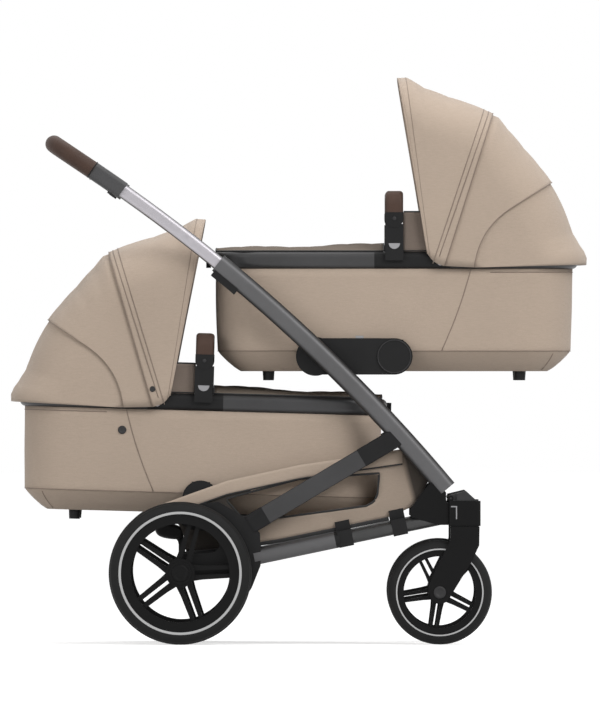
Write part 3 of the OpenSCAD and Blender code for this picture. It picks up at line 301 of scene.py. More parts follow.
nylon = moulded("black_nylon", 0.007, 0.014, 0.45)
dress(nylon, "frame_joints", "rear_hubs", "upper_adapters", "fold_sliders", "brake_pedal")
for cot in ("upper", "lower"):
    dress(nylon, cot + "_fittings", cot + "_side_frames", cot + "_carry_knuckles")
dress(moulded("cap_nylon", 0.045, 0.075, 0.42, 0.3), "handle_caps")
lever_nylon = moulded("lever_nylon", 0.018, 0.034, 0.36, 0.25)
dress(lever_nylon, "handle_triggers", "swivel_lock_left", "swivel_lock_right")
grey_nylon = moulded("light_grey_nylon", 0.3, 0.38, 0.4)
dress(grey_nylon, "upper_tab_left", "upper_tab_right")
for cot in ("upper", "lower"):
    dress(grey_nylon, cot + "_button_left", cot + "_button_right")

# Wheels: satin black rims, and foamed tyres with fine grooves around the tread and one pale
# reflecting line moulded into each sidewall.
rim_nylon = moulded("rim_nylon", 0.002, 0.005, 0.36, 0.12)
rear_axle_at, front_axle_at = (-0.2427, 0.145), (0.2834, 0.106)
tread_pitch = 0.0065


def tyre_finish(name, centre, line_from, line_to, tread_from):
    finish = Finish(name, specular_ior_level=0.22)
    x = finish.axis("X") - centre[0]
    z = finish.axis("Z") - centre[1]
    radius = (x * x + z * z) ** 0.5
    line = (radius > line_from) * (radius < line_to)
    tread = radius > tread_from
    groove = (finish.axis("Y") * (2 * math.pi / tread_pitch)).sine()
    dust = finish.noise(40, 5)
    rubber = finish.mix(shade(0.005), shade(0.012), dust)
    finish.set(
        base_color=finish.mix(rubber, shade(0.5), line),
        roughness=0.72 - 0.25 * line,
        normal=finish.bump(groove * tread + 0.3 * finish.noise(700, 3), 0.5, 0.0012),
    )
    return finish


rear_tyre = tyre_finish("rear_tyre_rubber", rear_axle_at, 0.1198, 0.1248, 0.1385)
front_tyre = tyre_finish("front_tyre_rubber", front_axle_at, 0.0838, 0.0888, 0.1005)
dress(rim_nylon, "front_carrier")
for side in ("left", "right"):
    dress(rim_nylon, "rear_rim_" + side, "front_rim_" + side, "front_fork_" + side)
    dress(rear_tyre, "rear_tyre_" + side)
    dress(front_tyre, "front_tyre_" + side)

# Each hub has a domed nylon cap with a raised rim, snapped over the end of the axle. The rear
# ones turn with their wheels, and the front ones sit on the outer faces of the caster forks.
fork_face = 0.266
hub_cap = [
    (0.0175, 0.0001), (0.0175, 0.0016), (0.0165, 0.0026), (0.0125, 0.0028), (0.0115, 0.002),
    (0.006, 0.003), (0.001, 0.0033),
]
axle_cap = [
    (0.0125, 0.0001), (0.0125, 0.0014), (0.011, 0.0024), (0.008, 0.0026), (0.0072, 0.0018),
    (0.001, 0.0024),
]


def mesh_piece(name, points, faces, finish, body, smooth=True):
    mesh = bpy.data.meshes.new(name)
    mesh.from_pydata([tuple(p) for p in points], [], faces)
    work = bmesh.new()
    work.from_mesh(mesh)
    bmesh.ops.recalc_face_normals(work, faces=work.faces)
    work.to_mesh(mesh)
    work.free()
    for face in mesh.polygons:
        face.use_smooth = smooth
    mesh.materials.append(finish.material)
    piece = bpy.data.objects.new(name, mesh)
    scene.collection.objects.link(piece)
    if body:
        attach(piece, body)
    return piece


def turned(name, profile, centre, out, finish, body, count=32, ring=False):
    """A turned piece or ring from profile points of radius and height, set out sideways."""
    points, faces = [], []
    for radius, height in profile:
        for k in range(count):
            a = 2 * math.pi * k / count
            x, z = radius * math.cos(a), radius * math.sin(a)
            points.append((centre[0] + x, centre[1] + out * height, centre[2] + z))
    rows = len(profile)
    for r in range(rows if ring else rows - 1):
        for k in range(count):
            m, s = (k + 1) % count, (r + 1) % rows
            faces.append((r * count + k, r * count + m, s * count + m, s * count + k))
    if not ring:
        faces.append(tuple(range(count)))
        faces.append(tuple(range((rows - 1) * count, rows * count)))
    return mesh_piece(name, points, faces, finish, body)


for side, out in (("left", 1), ("right", -1)):
    rim_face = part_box("rear_rim_" + side)[1 if out > 0 else 0].y
    centre = (rear_axle_at[0], rim_face, rear_axle_at[1])
    cap = turned("rear_hub_cap_" + side, hub_cap, centre, out, rim_nylon, "rear_wheel_" + side)
    centre = (front_axle_at[0], out * fork_face, front_axle_at[1])
    cap = turned("front_axle_cap_" + side, axle_cap, centre, out, lever_nylon, "caster_" + side)

# The brake pedal is one black nylon moulding on the axle: a sleeve that turns on the tube, a rib
# up from it, and a thick rounded tread that reaches back for the foot, with three grip bars.
tread_centre = np.array(rear_axle_at) + (-0.0235, 0.083)
tread_half, tread_rise, tread_power = (0.0285, 0.0155), 0.14, 2 / 2.6
tread_stations = [(0.034, 1.0), (0.041, 0.94), (0.0447, 0.8), (0.046, 0.62)]
rib_half, sleeve_in, sleeve_out, ring_count = 0.0276, 0.01005, 0.017, 40
rib = [
    (-0.0046, 0.004), (-0.0046, 0.056), (-0.0062, 0.063), (-0.0105, 0.0685), (-0.0105, 0.08),
    (0.0036, 0.08), (0.0065, 0.062), (0.0086, 0.042), (0.0086, 0.004),
]
points, faces = [], []


def add_rings(rings, closed):
    """Adds a run of equal rings to the moulding, with caps unless it closes on itself."""
    start, n = len(points), len(rings[0])
    points.extend(p for ring in rings for p in ring)
    for r in range(len(rings) if closed else len(rings) - 1):
        a, b = start + r * n, start + (r + 1) % len(rings) * n
        faces.extend((a + k, a + (k + 1) % n, b + (k + 1) % n, b + k) for k in range(n))
    if not closed:
        last = start + (len(rings) - 1) * n
        faces.extend((tuple(range(start, start + n)), tuple(range(last, last + n))))


def boxy(value):
    """Swells a circle's sine or cosine toward a rounded square."""
    return math.copysign(abs(value) ** tread_power, value)


def tread_ring(y, share):
    ring = []
    for k in range(ring_count):
        a = 2 * math.pi * k / ring_count
        x = tread_half[0] * (0.65 + 0.35 * share) * boxy(math.cos(a))
        z = tread_half[1] * share * boxy(math.sin(a))
        ring.append((tread_centre[0] + x, y, tread_centre[1] + z - tread_rise * x))
    return ring


def about_axle(shape, y):
    return [(rear_axle_at[0] + x, y, rear_axle_at[1] + z) for x, z in shape]


def sleeve_ring(radius, y):
    turns = np.linspace(0, 2 * math.pi, ring_count, endpoint=False)
    return about_axle([(radius * math.cos(a), radius * math.sin(a)) for a in turns], y)


far_half = [tread_ring(-y, share) for y, share in tread_stations[::-1]]
add_rings(far_half + [tread_ring(y, share) for y, share in tread_stations], False)
add_rings([about_axle(rib, y) for y in (-rib_half, rib_half)], False)
add_rings([
    sleeve_ring(sleeve_in, -rib_half), sleeve_ring(sleeve_out, -rib_half),
    sleeve_ring(sleeve_out, rib_half), sleeve_ring(sleeve_in, rib_half),
], True)
piece = mesh_piece("pedal_moulding", points, faces, nylon, "pedal", smooth=False)
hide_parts("brake_pedal")

# The push grip and the two carry handles are foam over a bar, covered in dark brown grained
# leather-look cloth that is sewn shut along the inside with a close stitch.
hide = Finish("brown_leather_look", sheen_weight=0.02, specular_ior_level=0.25)
pebble = hide.node("ShaderNodeTexVoronoi", {}, {"Vector": hide.place, "Scale": 420.0})
patch = hide.noise(22, 4)
hide.set(
    base_color=hide.mix(shade(1, (0.042, 0.022, 0.0155)), shade(1, (0.074, 0.042, 0.03)), patch),
    roughness=0.48 + 0.18 * patch,
    normal=hide.bump(pebble + 0.4 * hide.noise(160, 4), 0.32, 0.0009),
)
dress(hide, "handle_grip", "upper_carry_grip", "lower_carry_grip")


def tube(name, points, radius, finish, body, closed=False, count=8):
    """A thin round cord of cloth or thread along the given points."""
    points = [Vector(p) for p in points]
    n = len(points)
    verts, faces = [], []
    side = None
    for i, p in enumerate(points):
        ahead = points[(i + 1) % n] if closed or i < n - 1 else p
        behind = points[i - 1] if closed or i > 0 else p
        run = (ahead - behind).normalized()
        if side is None:
            side = run.cross(Vector((0.3, 0.9, 0.2))).normalized()
        side = (side - run * side.dot(run)).normalized()
        up = run.cross(side)
        for k in range(count):
            a = 2 * math.pi * k / count
            verts.append(p + (side * math.cos(a) + up * math.sin(a)) * radius)
    for i in range(n if closed else n - 1):
        j = (i + 1) % n
        for k in range(count):
            m = (k + 1) % count
            faces.append((i * count + k, i * count + m, j * count + m, j * count + k))
    if not closed:
        faces.append(tuple(range(count)))
        faces.append(tuple(range((n - 1) * count, n * count)))
    return mesh_piece(name, verts, faces, finish, body)


grip_bar_half, grip_bar_sunk = 0.036, 0.0003
for number, along in enumerate((-0.014, -0.004, 0.006)):
    x, z = tread_centre + (along, tread_half[1] - grip_bar_sunk - tread_rise * along)
    line = [(x, y, z) for y in (-grip_bar_half, 0.0, grip_bar_half)]
    bar = tube("pedal_grip_bar_%d" % number, line, 0.0014, nylon, "pedal")

thread = moulded("brown_thread", 0.06, 0.1, 0.7)
bar_start = math.radians(39.9)


def on_bar(run, out, y):
    a = bar_start + run / bar_radius
    r = bar_radius + out
    return (bar_centre[0] + r * math.cos(a), y, bar_centre[1] + r * math.sin(a))


grip_from, grip_reach, grip_bend, bar_y, grip_r = 0.969, 0.096, 0.052, 0.24, 0.01775
seam_aside, seam_under, arm_start = 0.72, 0.715, 0.004
heading = bar_start + grip_from / bar_radius
grip_origin = Vector(on_bar(grip_from, 0, 0))
grip_up = Vector((-math.sin(heading), 0, math.cos(heading)))
grip_in = Vector((-math.cos(heading), 0, -math.sin(heading)))


def grip_line(share):
    """Points along the inside of the grip's bend, from one arm to the other."""
    line = []
    arm = grip_reach - grip_bend
    inner = grip_bend - grip_r * share
    for s in (-1, 1):
        beside = s * (bar_y - grip_r * share)
        half = [(arm_start, beside), (arm, beside)]
        for k in range(1, 9):
            a = math.pi / 2 * (1 - k / 8)
            half.append((arm + inner * math.cos(a), s * (bar_y - grip_bend + inner * math.sin(a))))
        line += half if s < 0 else half[::-1]
    return line


seam = []
for x, y in grip_line(seam_aside):
    seam.append(grip_origin + grip_up * x + Vector((0, y, 0)) + grip_in * (grip_r * seam_under))
piece = tube("grip_seam", seam, 0.0011, thread, "handle")
for s, side in ((1, "left"), (-1, "right")):
    ring = [
        grip_origin + grip_up * 0.0015 + Vector((0, s * bar_y, 0))
        + (Vector((0, 1, 0)) * math.cos(a) + grip_in * math.sin(a)) * (grip_r + 0.0002)
        for a in np.linspace(0, 2 * math.pi, 40, endpoint=False)
    ]
    piece = tube("grip_end_ring_" + side, ring, 0.0012, nylon, "handle", closed=True)

# The cloth is a tan melange weave with a dry hand: two yarn shades crossed at a little over a
# millimetre, slubs along the weft, and a soft sheen at grazing light.
TAN = (1.0, 0.796, 0.63)


def woven(name, low, high, tint, pitch=0.0013, painted_shade_to=None, painted_shade_from=None):
    """The weave; a basket's has painted shade up to one place along and from another."""
    finish = Finish(name, sheen_weight=0.15, sheen_roughness=0.5)
    along = finish.axis("X") + finish.axis("Y") * 0.83
    rise = finish.axis("Z") + finish.axis("Y") * 0.31
    warp = (along * (2 * math.pi / pitch)).sine()
    weft = (rise * (2 * math.pi / pitch)).sine()
    slub = finish.drawn_out((90, 90, 620), 4.0)
    fleck = finish.noise(620, 2)
    shadow = finish.noise(7, 2)
    yarn = 0.16 + 0.34 * slub + 0.3 * fleck + 0.2 * shadow + 0.07 * warp * weft
    colour = finish.mix(shade(low, tint), shade(high, tint), yarn)
    if painted_shade_to is not None:
        # Painted shade: dark at the rear corner behind the wheel, and dark at the front in the main
        # tube's shadow.
        colour = finish.mix(colour, shade(0.03, tint), finish.axis("X") < painted_shade_to)
        front_painted_shade = (finish.axis("X") + 0.26 * finish.axis("Z") - painted_shade_from) * 80
        colour = finish.mix(colour, shade(0.05, tint), front_painted_shade)
    finish.set(
        base_color=colour,
        roughness=0.86 + 0.08 * fleck,
        normal=finish.bump(warp * weft + 1.5 * slub, 0.4, 0.0006),
    )
    return finish


weave = woven("tan_melange_weave", 0.325, 0.585, TAN)
# The apron's weave is a darker copy of the tan weave: painted shade.
apron_shaded_weave = woven("apron_weave", 0.13, 0.235, (1.0, 0.83, 0.68))
apron_shaded_weave.set(sheen_weight=0.0, specular_ior_level=0.1)
lining = woven("taupe_lining_weave", 0.17, 0.3, (1.0, 0.79, 0.65), 0.001)
seam_cloth = woven("tan_seam_cloth", 0.2, 0.34, (1.0, 0.78, 0.63), 0.0008)
binding = woven("black_binding", 0.012, 0.03, (1.0, 0.98, 1.0), 0.0009)

# Each cot is measured from its mount, hood end forward. The upper one stands as it is, the
# lower one faces the other way and leans a little forward on the rear hubs.
mounts = {"upper": (0.191492, 0.584259), "lower": (-0.2017, 0.2957)}
lean = math.radians(1.6)


def in_cot(cot, points):
    """Turns points of a cot, in metres along, across and up from its mount, to the pram's own."""
    p = np.asarray(points, float).reshape(-1, 3)
    x, z = mounts[cot]
    if cot == "upper":
        return p + np.array((x, 0.0, z))
    u, w = -p[:, 0], p[:, 2]
    along = x + u * math.cos(lean) + w * math.sin(lean)
    up = z - u * math.sin(lean) + w * math.cos(lean)
    return np.stack((along, p[:, 1], up), axis=1)


# The shell is a stiff tub covered in the tan weave, with a lining inside. A seam runs around
# its crease, one down each side from the hood's pivot, one around the head end, and a short
# one over each lower corner of the head end.
cot_length, cot_half, cot_corner = 0.363, 0.196, 0.09
rim_up, crease_up, floor_down = 0.178, 0.011, 0.03
end_draw, side_draw, wall_draw, wall, end_bulge = 0.049, 0.036, 0.004, 0.006, 0.003
side_swell, crease_pinch, pinch_width = 0.0018, 0.0008, 0.002
head_seam_up, head_seam_from = 0.171, 0.165
side_seam_top, side_seam_foot, side_seam_bow = (0.1555, 0.1765), (0.0966, 0.0125), 0.004
corner_seam_drop, corner_seam_long, corner_seam_turn = 0.005, 0.033, math.radians(52)
quarters = ((1, 1), (-1, 1), (-1, -1), (1, -1))


def tub_ring(hl, hw, r, w, swell=0.0):
    """One level of the tub: a rounded rectangle whose sides swell out between the corners."""
    ring = []
    for q, (sx, sy) in enumerate(quarters):
        for k in range(11):
            a = math.radians(q * 90 + k * 9)
            ring.append((sx * (hl - r) + r * math.cos(a), sy * (hw - r) + r * math.sin(a)))
        nq = quarters[(q + 1) % 4]
        a = math.radians((q + 1) * 90)
        here = np.array(ring[-1])
        there = np.array((nq[0] * (hl - r), nq[1] * (hw - r))) + (r * math.cos(a), r * math.sin(a))
        steps = 14 if q % 2 == 0 else 8
        for k in range(1, steps):
            t = k / steps
            point = here + (there - here) * t
            push = swell * math.sin(math.pi * t)
            ring.append((point[0] + push * math.cos(a), point[1] + push * math.sin(a)))
    return [(x, y, w) for x, y in ring]


def tub_level(w, inset=0.0):
    """The tub's half length, half width and corner radius at a height above the mount."""
    if w >= crease_up:
        k = (w - crease_up) / (rim_up - crease_up)
        hl, hw, r = cot_length - wall_draw * (1 - k), cot_half, cot_corner
    else:
        k = (w + floor_down) / (crease_up + floor_down)
        bulge = end_bulge * math.sin(math.pi * k)
        hl = cot_length - end_draw + (end_draw - wall_draw) * k + bulge
        hw = cot_half - side_draw * (1 - k) + bulge / 2
        r = cot_corner / 2 * (1 + k)
    return hl - inset, hw - inset, r - inset * 0.6


def tub_swell(w):
    """How far the cloth of a side stands out at a height, most halfway between rim and crease."""
    return side_swell * max(0.0, math.sin(math.pi * (w - crease_up) / (rim_up - crease_up)))


outside_levels = [
    rim_up, 0.16, 0.135, 0.11, 0.085, 0.06, 0.038, 0.022, 0.0145, 0.0115, 0.0085, 0.002, -0.01, -0.022,
]
for cot in ("upper", "lower"):
    rings = []
    for w in outside_levels:
        hl, hw, r = tub_level(w)
        pinch = crease_pinch * math.exp(-((w - crease_up) / pinch_width) ** 2)
        rings.append(tub_ring(hl - pinch, hw - pinch, r, w, tub_swell(w)))
    hl, hw, r = tub_level(-floor_down)
    rings.append(tub_ring(hl + 0.002, hw, r, 0.0025 - floor_down))
    for inset in (0.0025, 0.05, 0.1):
        rings.append(tub_ring(hl - inset, hw - inset, r * (1 - inset * 5), -floor_down))
    outside = len(rings)
    rings.append(tub_ring(hl - 0.1, hw - 0.1, r * 0.5, wall - floor_down))
    for inset in (0.05, wall):
        rings.append(tub_ring(hl - inset, hw - inset, r * (1 - inset * 5), wall - floor_down))
    for w in (0.0, 0.017, 0.06, 0.11, 0.15, rim_up):
        rings.append(tub_ring(*tub_level(w, wall), w, -0.001))
    n = len(rings[0])
    points = in_cot(cot, [p for ring in rings for p in ring])
    faces = []
    for r in range(len(rings)):
        if r == outside - 1:
            faces.append(tuple(r * n + k for k in range(n)))
            faces.append(tuple((r + 1) * n + k for k in range(n)))
            continue
        s = (r + 1) % len(rings)
        for k in range(n):
            m = (k + 1) % n
            faces.append((r * n + k, r * n + m, s * n + m, s * n + k))
    tub = mesh_piece(cot + "_tub_cover", points, faces, weave, cot + "_cot")
    tub.data.materials.append(lining.material)
    for face in tub.data.polygons:
        face.material_index = int(min(face.vertices) >= outside * n)
    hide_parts(cot + "_shell")

    crease = tub_ring(*tub_level(crease_up), crease_up)
    piece = tube(
        cot + "_crease_seam", in_cot(cot, crease), 0.0008, seam_cloth, cot + "_cot",
        closed=True, count=6,
    )
    level = tub_ring(*tub_level(head_seam_up), head_seam_up, 0.0003)
    line = [p for p in level if p[0] > head_seam_from]
    line.sort(key=lambda p: math.atan2(p[1], p[0] - head_seam_from))
    piece = tube(cot + "_head_seam", in_cot(cot, line), 0.001, seam_cloth, cot + "_cot", count=6)
    for s, side in ((1, "left"), (-1, "right")):
        line = []
        for t in np.linspace(0, 1, 14):
            u = side_seam_top[0] + (side_seam_foot[0] - side_seam_top[0]) * t
            w = side_seam_top[1] + (side_seam_foot[1] - side_seam_top[1]) * t
            bow = side_seam_bow * math.sin(math.pi * t)
            line.append((u + bow, s * (cot_half + tub_swell(w) * 0.86), w))
        line = in_cot(cot, line)
        piece = tube(cot + "_side_seam_" + side, line, 0.0011, seam_cloth, cot + "_cot", count=6)
        line = []
        for t in np.linspace(0, 1, 8):
            w = crease_up - corner_seam_drop - corner_seam_long * t
            hl, hw, r = tub_level(w)
            u = hl - r + r * math.cos(corner_seam_turn) + 0.0002
            line.append((u, s * (hw - r + r * math.sin(corner_seam_turn)), w))
        line = in_cot(cot, line)
        piece = tube(cot + "_corner_seam_" + side, line, 0.001, seam_cloth, cot + "_cot", count=6)

# The mattress is a foam pad in a taupe cover, sewn across in channels. Its cover is blown up
# by a cloth simulation once, and the same pad then lies in each cot.
pad_bottom, pad_room, pad_flare = wall - floor_down + 0.001, 0.005, 0.16
most_rise, held_height, channel_depth = 0.006, 0.02, 0.005


def pad_ring(q, w):
    hl = cot_length - end_draw - wall - pad_room + end_draw * pad_flare
    hw = cot_half - side_draw - wall - pad_room + side_draw * pad_flare
    return tub_ring(hl * (1 - q), hw * (1 - q), cot_corner * 0.55 * (1 - q), w)


rings = [pad_ring(0.5, pad_bottom), pad_ring(0.05, pad_bottom), pad_ring(0.015, pad_bottom + 0.008)]
for q, w in ((0.0, 0.018), (0.012, 0.029), (0.05, 0.034), (0.2, 0.0375), (0.5, 0.04)):
    rings.append(pad_ring(q, pad_bottom + w))
n = len(rings[0])
points = [p for ring in rings for p in ring]
faces = [tuple(range(n)), tuple((len(rings) - 1) * n + k for k in range(n))]
for r in range(len(rings) - 1):
    for k in range(n):
        m = (k + 1) % n
        faces.append((r * n + k, r * n + m, (r + 1) * n + m, (r + 1) * n + k))
pad = mesh_piece("pad_form", points, faces, lining, None)
remesh = pad.modifiers.new("even_grid", "REMESH")
remesh.mode = "VOXEL"
remesh.voxel_size = 0.006
bpy.context.view_layer.update()
graph = bpy.context.evaluated_depsgraph_get()
even = bpy.data.meshes.new_from_object(pad.evaluated_get(graph))
pad.modifiers.clear()
pad.data = even
before = np.array([v.co for v in even.vertices])
cloth = pad.modifiers.new("cover", "CLOTH")
cloth.settings.use_pressure = True
cloth.settings.uniform_pressure_force = 4
cloth.settings.effector_weights.gravity = 0
cloth.settings.quality = 5
for step in range(1, 16):
    scene.frame_set(step)
shown = pad.evaluated_get(bpy.context.evaluated_depsgraph_get()).to_mesh()
after = np.array([v.co for v in shown.vertices])
pad.modifiers.clear()
scene.frame_set(1)
move = after - before
length = np.maximum(np.linalg.norm(move, axis=1, keepdims=True), 1e-9)
move *= np.minimum(1.0, most_rise / length)
low = np.clip((before[:, 2:3] - pad_bottom) / held_height, 0, 1)
side_hold = np.array((0.3, 0.3, 1.0))
after = before + move * low * side_hold
channel = np.cos(np.pi * 4 * after[:, 0] / (2 * cot_length)) ** 16
top = np.clip((after[:, 2] - pad_bottom - 0.025) / 0.012, 0, 1)
after[:, 2] -= channel_depth * channel * top
even.vertices.foreach_set("co", after.ravel())
even.update()
form = np.array([v.co for v in even.vertices])
loops = [tuple(p.vertices) for p in even.polygons]
bpy.data.objects.remove(pad)
for cot in ("upper", "lower"):
    piece = mesh_piece(cot + "_mattress_pad", in_cot(cot, form), loops, lining, cot + "_cot")
    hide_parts(cot + "_mattress")

# The apron is a dull tan cloth, painted darker as painted shade, held over the foot half of the rim. It
# is crowned where it spans
# the tub, has slack folds near the foot, and a black bound edge; a wing stands on each side.
rim_top, rim_half_w, rim_half_l = 0.212, 0.192, 0.362
socket = 0.037
wing_from, wing_to = socket / 2 + 0.0004, 0.0933
wing_up = {"upper": 0.0815, "lower": 0.0615}
edge_lift, edge_radius = 0.0017, 0.0017
apron_flat, apron_faces, apron_crown, apron_slack = (0.4, 0.345), (0.003, 0.0004), 0.014, 0.002
wing_thick, wing_bow, wing_foot, wing_edge_radius = 0.003, 0.0012, 0.0022, 0.002


def closed_cloth(name, outer, inner, finish, body):
    """Joins two equal grids of points, the cloth's two faces, into one closed piece."""
    rows, cols = len(outer), len(outer[0])
    size = rows * cols
    points = [p for row in outer for p in row] + [p for row in inner for p in row]
    faces = []
    for i in range(rows - 1):
        for j in range(cols - 1):
            a, b = i * cols + j, i * cols + j + 1
            faces.append((a, b, b + cols, a + cols))
            faces.append((size + a, size + a + cols, size + b + cols, size + b))
    edge = list(range(cols)) + [i * cols + cols - 1 for i in range(1, rows)]
    edge += [(rows - 1) * cols + j for j in range(cols - 2, -1, -1)]
    edge += [i * cols for i in range(rows - 2, 0, -1)]
    for k, a in enumerate(edge):
        b = edge[(k + 1) % len(edge)]
        faces.append((a, a + size, b + size, b))
    return mesh_piece(name, points, faces, finish, body)


def apron_point(u, v, lift):
    near = max(0.0, 1 - u * 5)
    half = rim_half_w - near * near * cot_corner * 0.9
    rise = apron_crown * (1 - abs(v) ** 2.6) * (0.35 + 0.65 * u)
    loose = 1 - v * v
    fold = apron_slack * math.sin(math.radians(540 * u)) * loose * (1 - u) * u * 4
    crease = (0.0012 * math.sin(9 * u + 5 * v) + 0.0008 * math.sin(31 * u - 11 * v)) * loose
    x = -rim_half_l + (-socket / 2 - 0.003 + rim_half_l) * u
    return (x, v * half, rim_top + 0.0002 + rise + fold + crease + lift)


for cot in ("upper", "lower"):
    grids = []
    for lift in apron_faces:
        rows = []
        for i in range(45):
            row = [apron_point(i / 44, 1 - 2 * j / 40, lift) for j in range(41)]
            rows.append(list(in_cot(cot, row)))
        grids.append(rows)
    piece = closed_cloth(cot + "_apron_cloth", grids[0], grids[1], apron_shaded_weave, cot + "_cot")
    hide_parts(cot + "_apron")
    around = [apron_point(0, 1 - 2 * j / 24, edge_lift) for j in range(25)]
    around += [apron_point(i / 30, -1, edge_lift) for i in range(1, 31)]
    around += [apron_point(1, -1 + 2 * j / 24, edge_lift) for j in range(1, 25)]
    around += [apron_point(i / 30, 1, edge_lift) for i in range(29, 0, -1)]
    around = in_cot(cot, around)
    piece = tube(cot + "_apron_binding", around, edge_radius, binding, cot + "_cot", closed=True)
    for s, side in ((1, "left"), (-1, "right")):
        grids = []
        for lift in (0.0, -wing_thick):
            rows = []
            for i in range(13):
                t = i / 12
                u = wing_from + (wing_to - wing_from) * t
                row = []
                for j in range(11):
                    w = 0.0003 + (wing_up[cot] + 0.0002) * j / 10
                    bow = wing_bow * math.sin(math.pi * t) * math.sin(math.pi * j / 10)
                    row.append((u, s * (rim_half_w + lift - bow), rim_top + w))
                rows.append(list(in_cot(cot, row)))
            grids.append(rows)
        piece = closed_cloth(cot + "_wing_" + side, grids[0], grids[1], lining, cot + "_cot")
        flat = (wing_to - wing_from, wing_up[cot])
        for w, name in ((wing_up[cot], "top"), (wing_foot, "foot")):
            run = np.linspace(wing_from, wing_to, 13)
            line = in_cot(cot, [(u, s * (rim_half_w - wing_thick / 2), rim_top + w) for u in run])
            name = cot + "_wing_" + name + "_" + side
            piece = tube(name, line, wing_edge_radius, binding, cot + "_cot")

# The hood is three panels of the same tan weave on two bows. The back one is sewn to the cot,
# the middle one slides over it and the visor over both, with welted seams where they meet.
hood_ahead, hood_z, hood_reach = 0.0933, 0.1906, 0.387
hood_wall, hood_step, hood_width = 0.0025, 0.0037, 1.02
visor_billow, seam_billow, arch_degrees = 0.0016, 0.0013, 1.2
shoulder, crown, bend, knee_share = 0.09, 0.008, 0.047, 0.27
front_turns = [103, 100, 95, 87, 80, 72.6, 70.3]
front_shares = [1, 0.992, 0.925, 0.876, 0.856, 0.84, 0.837]
mid_turns = [71.5, 68, 63, 53.5, 44, 35.5]
mid_shares = [1, 1, 0.955, 0.905, 0.885, 0.88]
back_turns = [37, 27, 21, 17, 12.5, 7.3, 4.7, 1.9, -0.8]
back_shares = [1, 0.994, 0.993, 0.994, 1, 1.035, 1.062, 1.08, 1.077]
mid_reach = hood_reach * front_shares[-1] - hood_step
back_reach = mid_reach * mid_shares[-1] - hood_step
back_half = 0.2058


front_run, mid_run, back_run = (
    np.linspace(0, 1, len(turns)) for turns in (front_turns, mid_turns, back_turns)
)
front_feet = [(0.009 * k - 0.026 * (1 - k), 0.018 * (1 - k) ** 3 - 0.007 * k) for k in front_run]
mid_feet = [(0.006 + 0.063 * k, -0.003 * k - 0.007) for k in mid_run]
back_feet = [(0.0665 + 0.015 * k, -0.01) for k in back_run]
mid_half, front_half = back_half + hood_step, back_half + 2 * hood_step
panels = {
    "front": (front_half, hood_reach, front_turns, front_shares, 0 * front_run, front_feet),
    "mid": (mid_half, mid_reach, mid_turns, mid_shares, bend * mid_run ** 2, mid_feet),
    "back": (back_half, back_reach, back_turns, back_shares, bend * (1 - back_run) ** 2, back_feet),
}


def smooth(turn, turns, values):
    """Reads a panel's measured values at a turn between its stations."""
    order = np.argsort(turns)
    return np.interp(turn, np.asarray(turns, float)[order], np.asarray(values, float)[order])


def hood_arch(panel, turn, inward=0.0, billow=0.0, hem=None):
    """One arch of a panel: up its side from the hem, round the shoulder, over the top and down."""
    half, full, turns, shares, bends, feet = panels[panel]
    half -= inward
    reach = full * smooth(turn, turns, shares) - inward
    foot = np.array(hem or [smooth(turn, turns, [f[k] for f in feet]) for k in (0, 1)])
    tip = reach * np.array((math.cos(math.radians(turn)), math.sin(math.radians(turn))))
    run = (tip - foot) / np.linalg.norm(tip - foot)
    knee = foot + (tip - foot) * knee_share + smooth(turn, turns, bends) * np.array((-run[1], run[0]))
    fall = (knee - tip) / np.linalg.norm(knee - tip)
    start = tip + fall * (shoulder + crown)
    line = []
    for k in np.arange(0, 1, 0.1):
        at = foot * (1 - k) ** 2 + knee * 2 * k * (1 - k) + start * k * k
        line.append((at, half + billow * math.sin(math.pi * k)))
    for a in np.linspace(0, math.pi / 2, 15):
        down = crown + shoulder - shoulder * math.sin(a)
        line.append((tip + fall * down, half - shoulder * (1 - math.cos(a))))
    for k in np.linspace(0, 1, 9)[1:]:
        line.append((tip + fall * crown * (1 - k) ** 1.6, (half - shoulder) * (1 - k)))
    row = [(hood_ahead + at[0], y, hood_z + at[1]) for at, y in line]
    return row + [(x, -y, z) for x, y, z in row[-2::-1]]


def spread(panel):
    """A panel's stations with more arches between them, so that its cloth looks smooth."""
    turns = panels[panel][2]
    fine = []
    for a, b in zip(turns, turns[1:]):
        steps = max(2, int(abs(a - b) / arch_degrees))
        fine += [a + (b - a) * k / steps for k in range(steps)]
    return fine + [turns[-1]]


hood_bodies = {"front": "_hood_visor", "mid": "_hood_middle", "back": "_cot"}
hood_lines = (
    ("visor_seam", "front", 73.9, (-0.015, -0.002), 0.001),
    ("visor_fold", "front", 72.0, (-0.002, 0.012), 0.001),
    ("visor_welt", "front", 70.4, None, 0.001),
    ("rear_welt", "mid", 35.6, None, 0.0009),
    ("visor_hem", "front", 100.4, None, 0.0006),
)
for cot in ("upper", "lower"):
    for panel in ("front", "mid", "back"):
        fine = spread(panel)
        outer, inner = [], []
        for turn in fine:
            puff = math.sin(math.pi * (turn - fine[0]) / (fine[-1] - fine[0]))
            billow = visor_billow * puff if panel == "front" else 0.0
            outer.append(list(in_cot(cot, hood_arch(panel, turn, 0.0, billow))))
            inner.append(list(in_cot(cot, hood_arch(panel, turn, hood_wall))))
        body = cot + hood_bodies[panel]
        piece = closed_cloth(cot + "_hood_" + panel + "_cloth", outer, inner, weave, body)
        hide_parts(cot + "_hood_" + panel)
        total = sum(p.area for p in piece.data.polygons) / 2
        flat = (hood_width, round(total / hood_width, 3))
    for name, panel, turn, hem, radius in hood_lines:
        billow = seam_billow if hem else 0.0
        inward = -0.0002 if panel == "front" else 0.0001
        line = in_cot(cot, hood_arch(panel, turn, inward, billow, hem))
        piece = tube(cot + "_" + name, line, radius, seam_cloth, cot + hood_bodies[panel], count=6)
    line = in_cot(cot, hood_arch("front", 102.6, 0.001))
    piece = tube(cot + "_visor_edge", line, 0.0016, weave, cot + "_hood_visor", count=8)
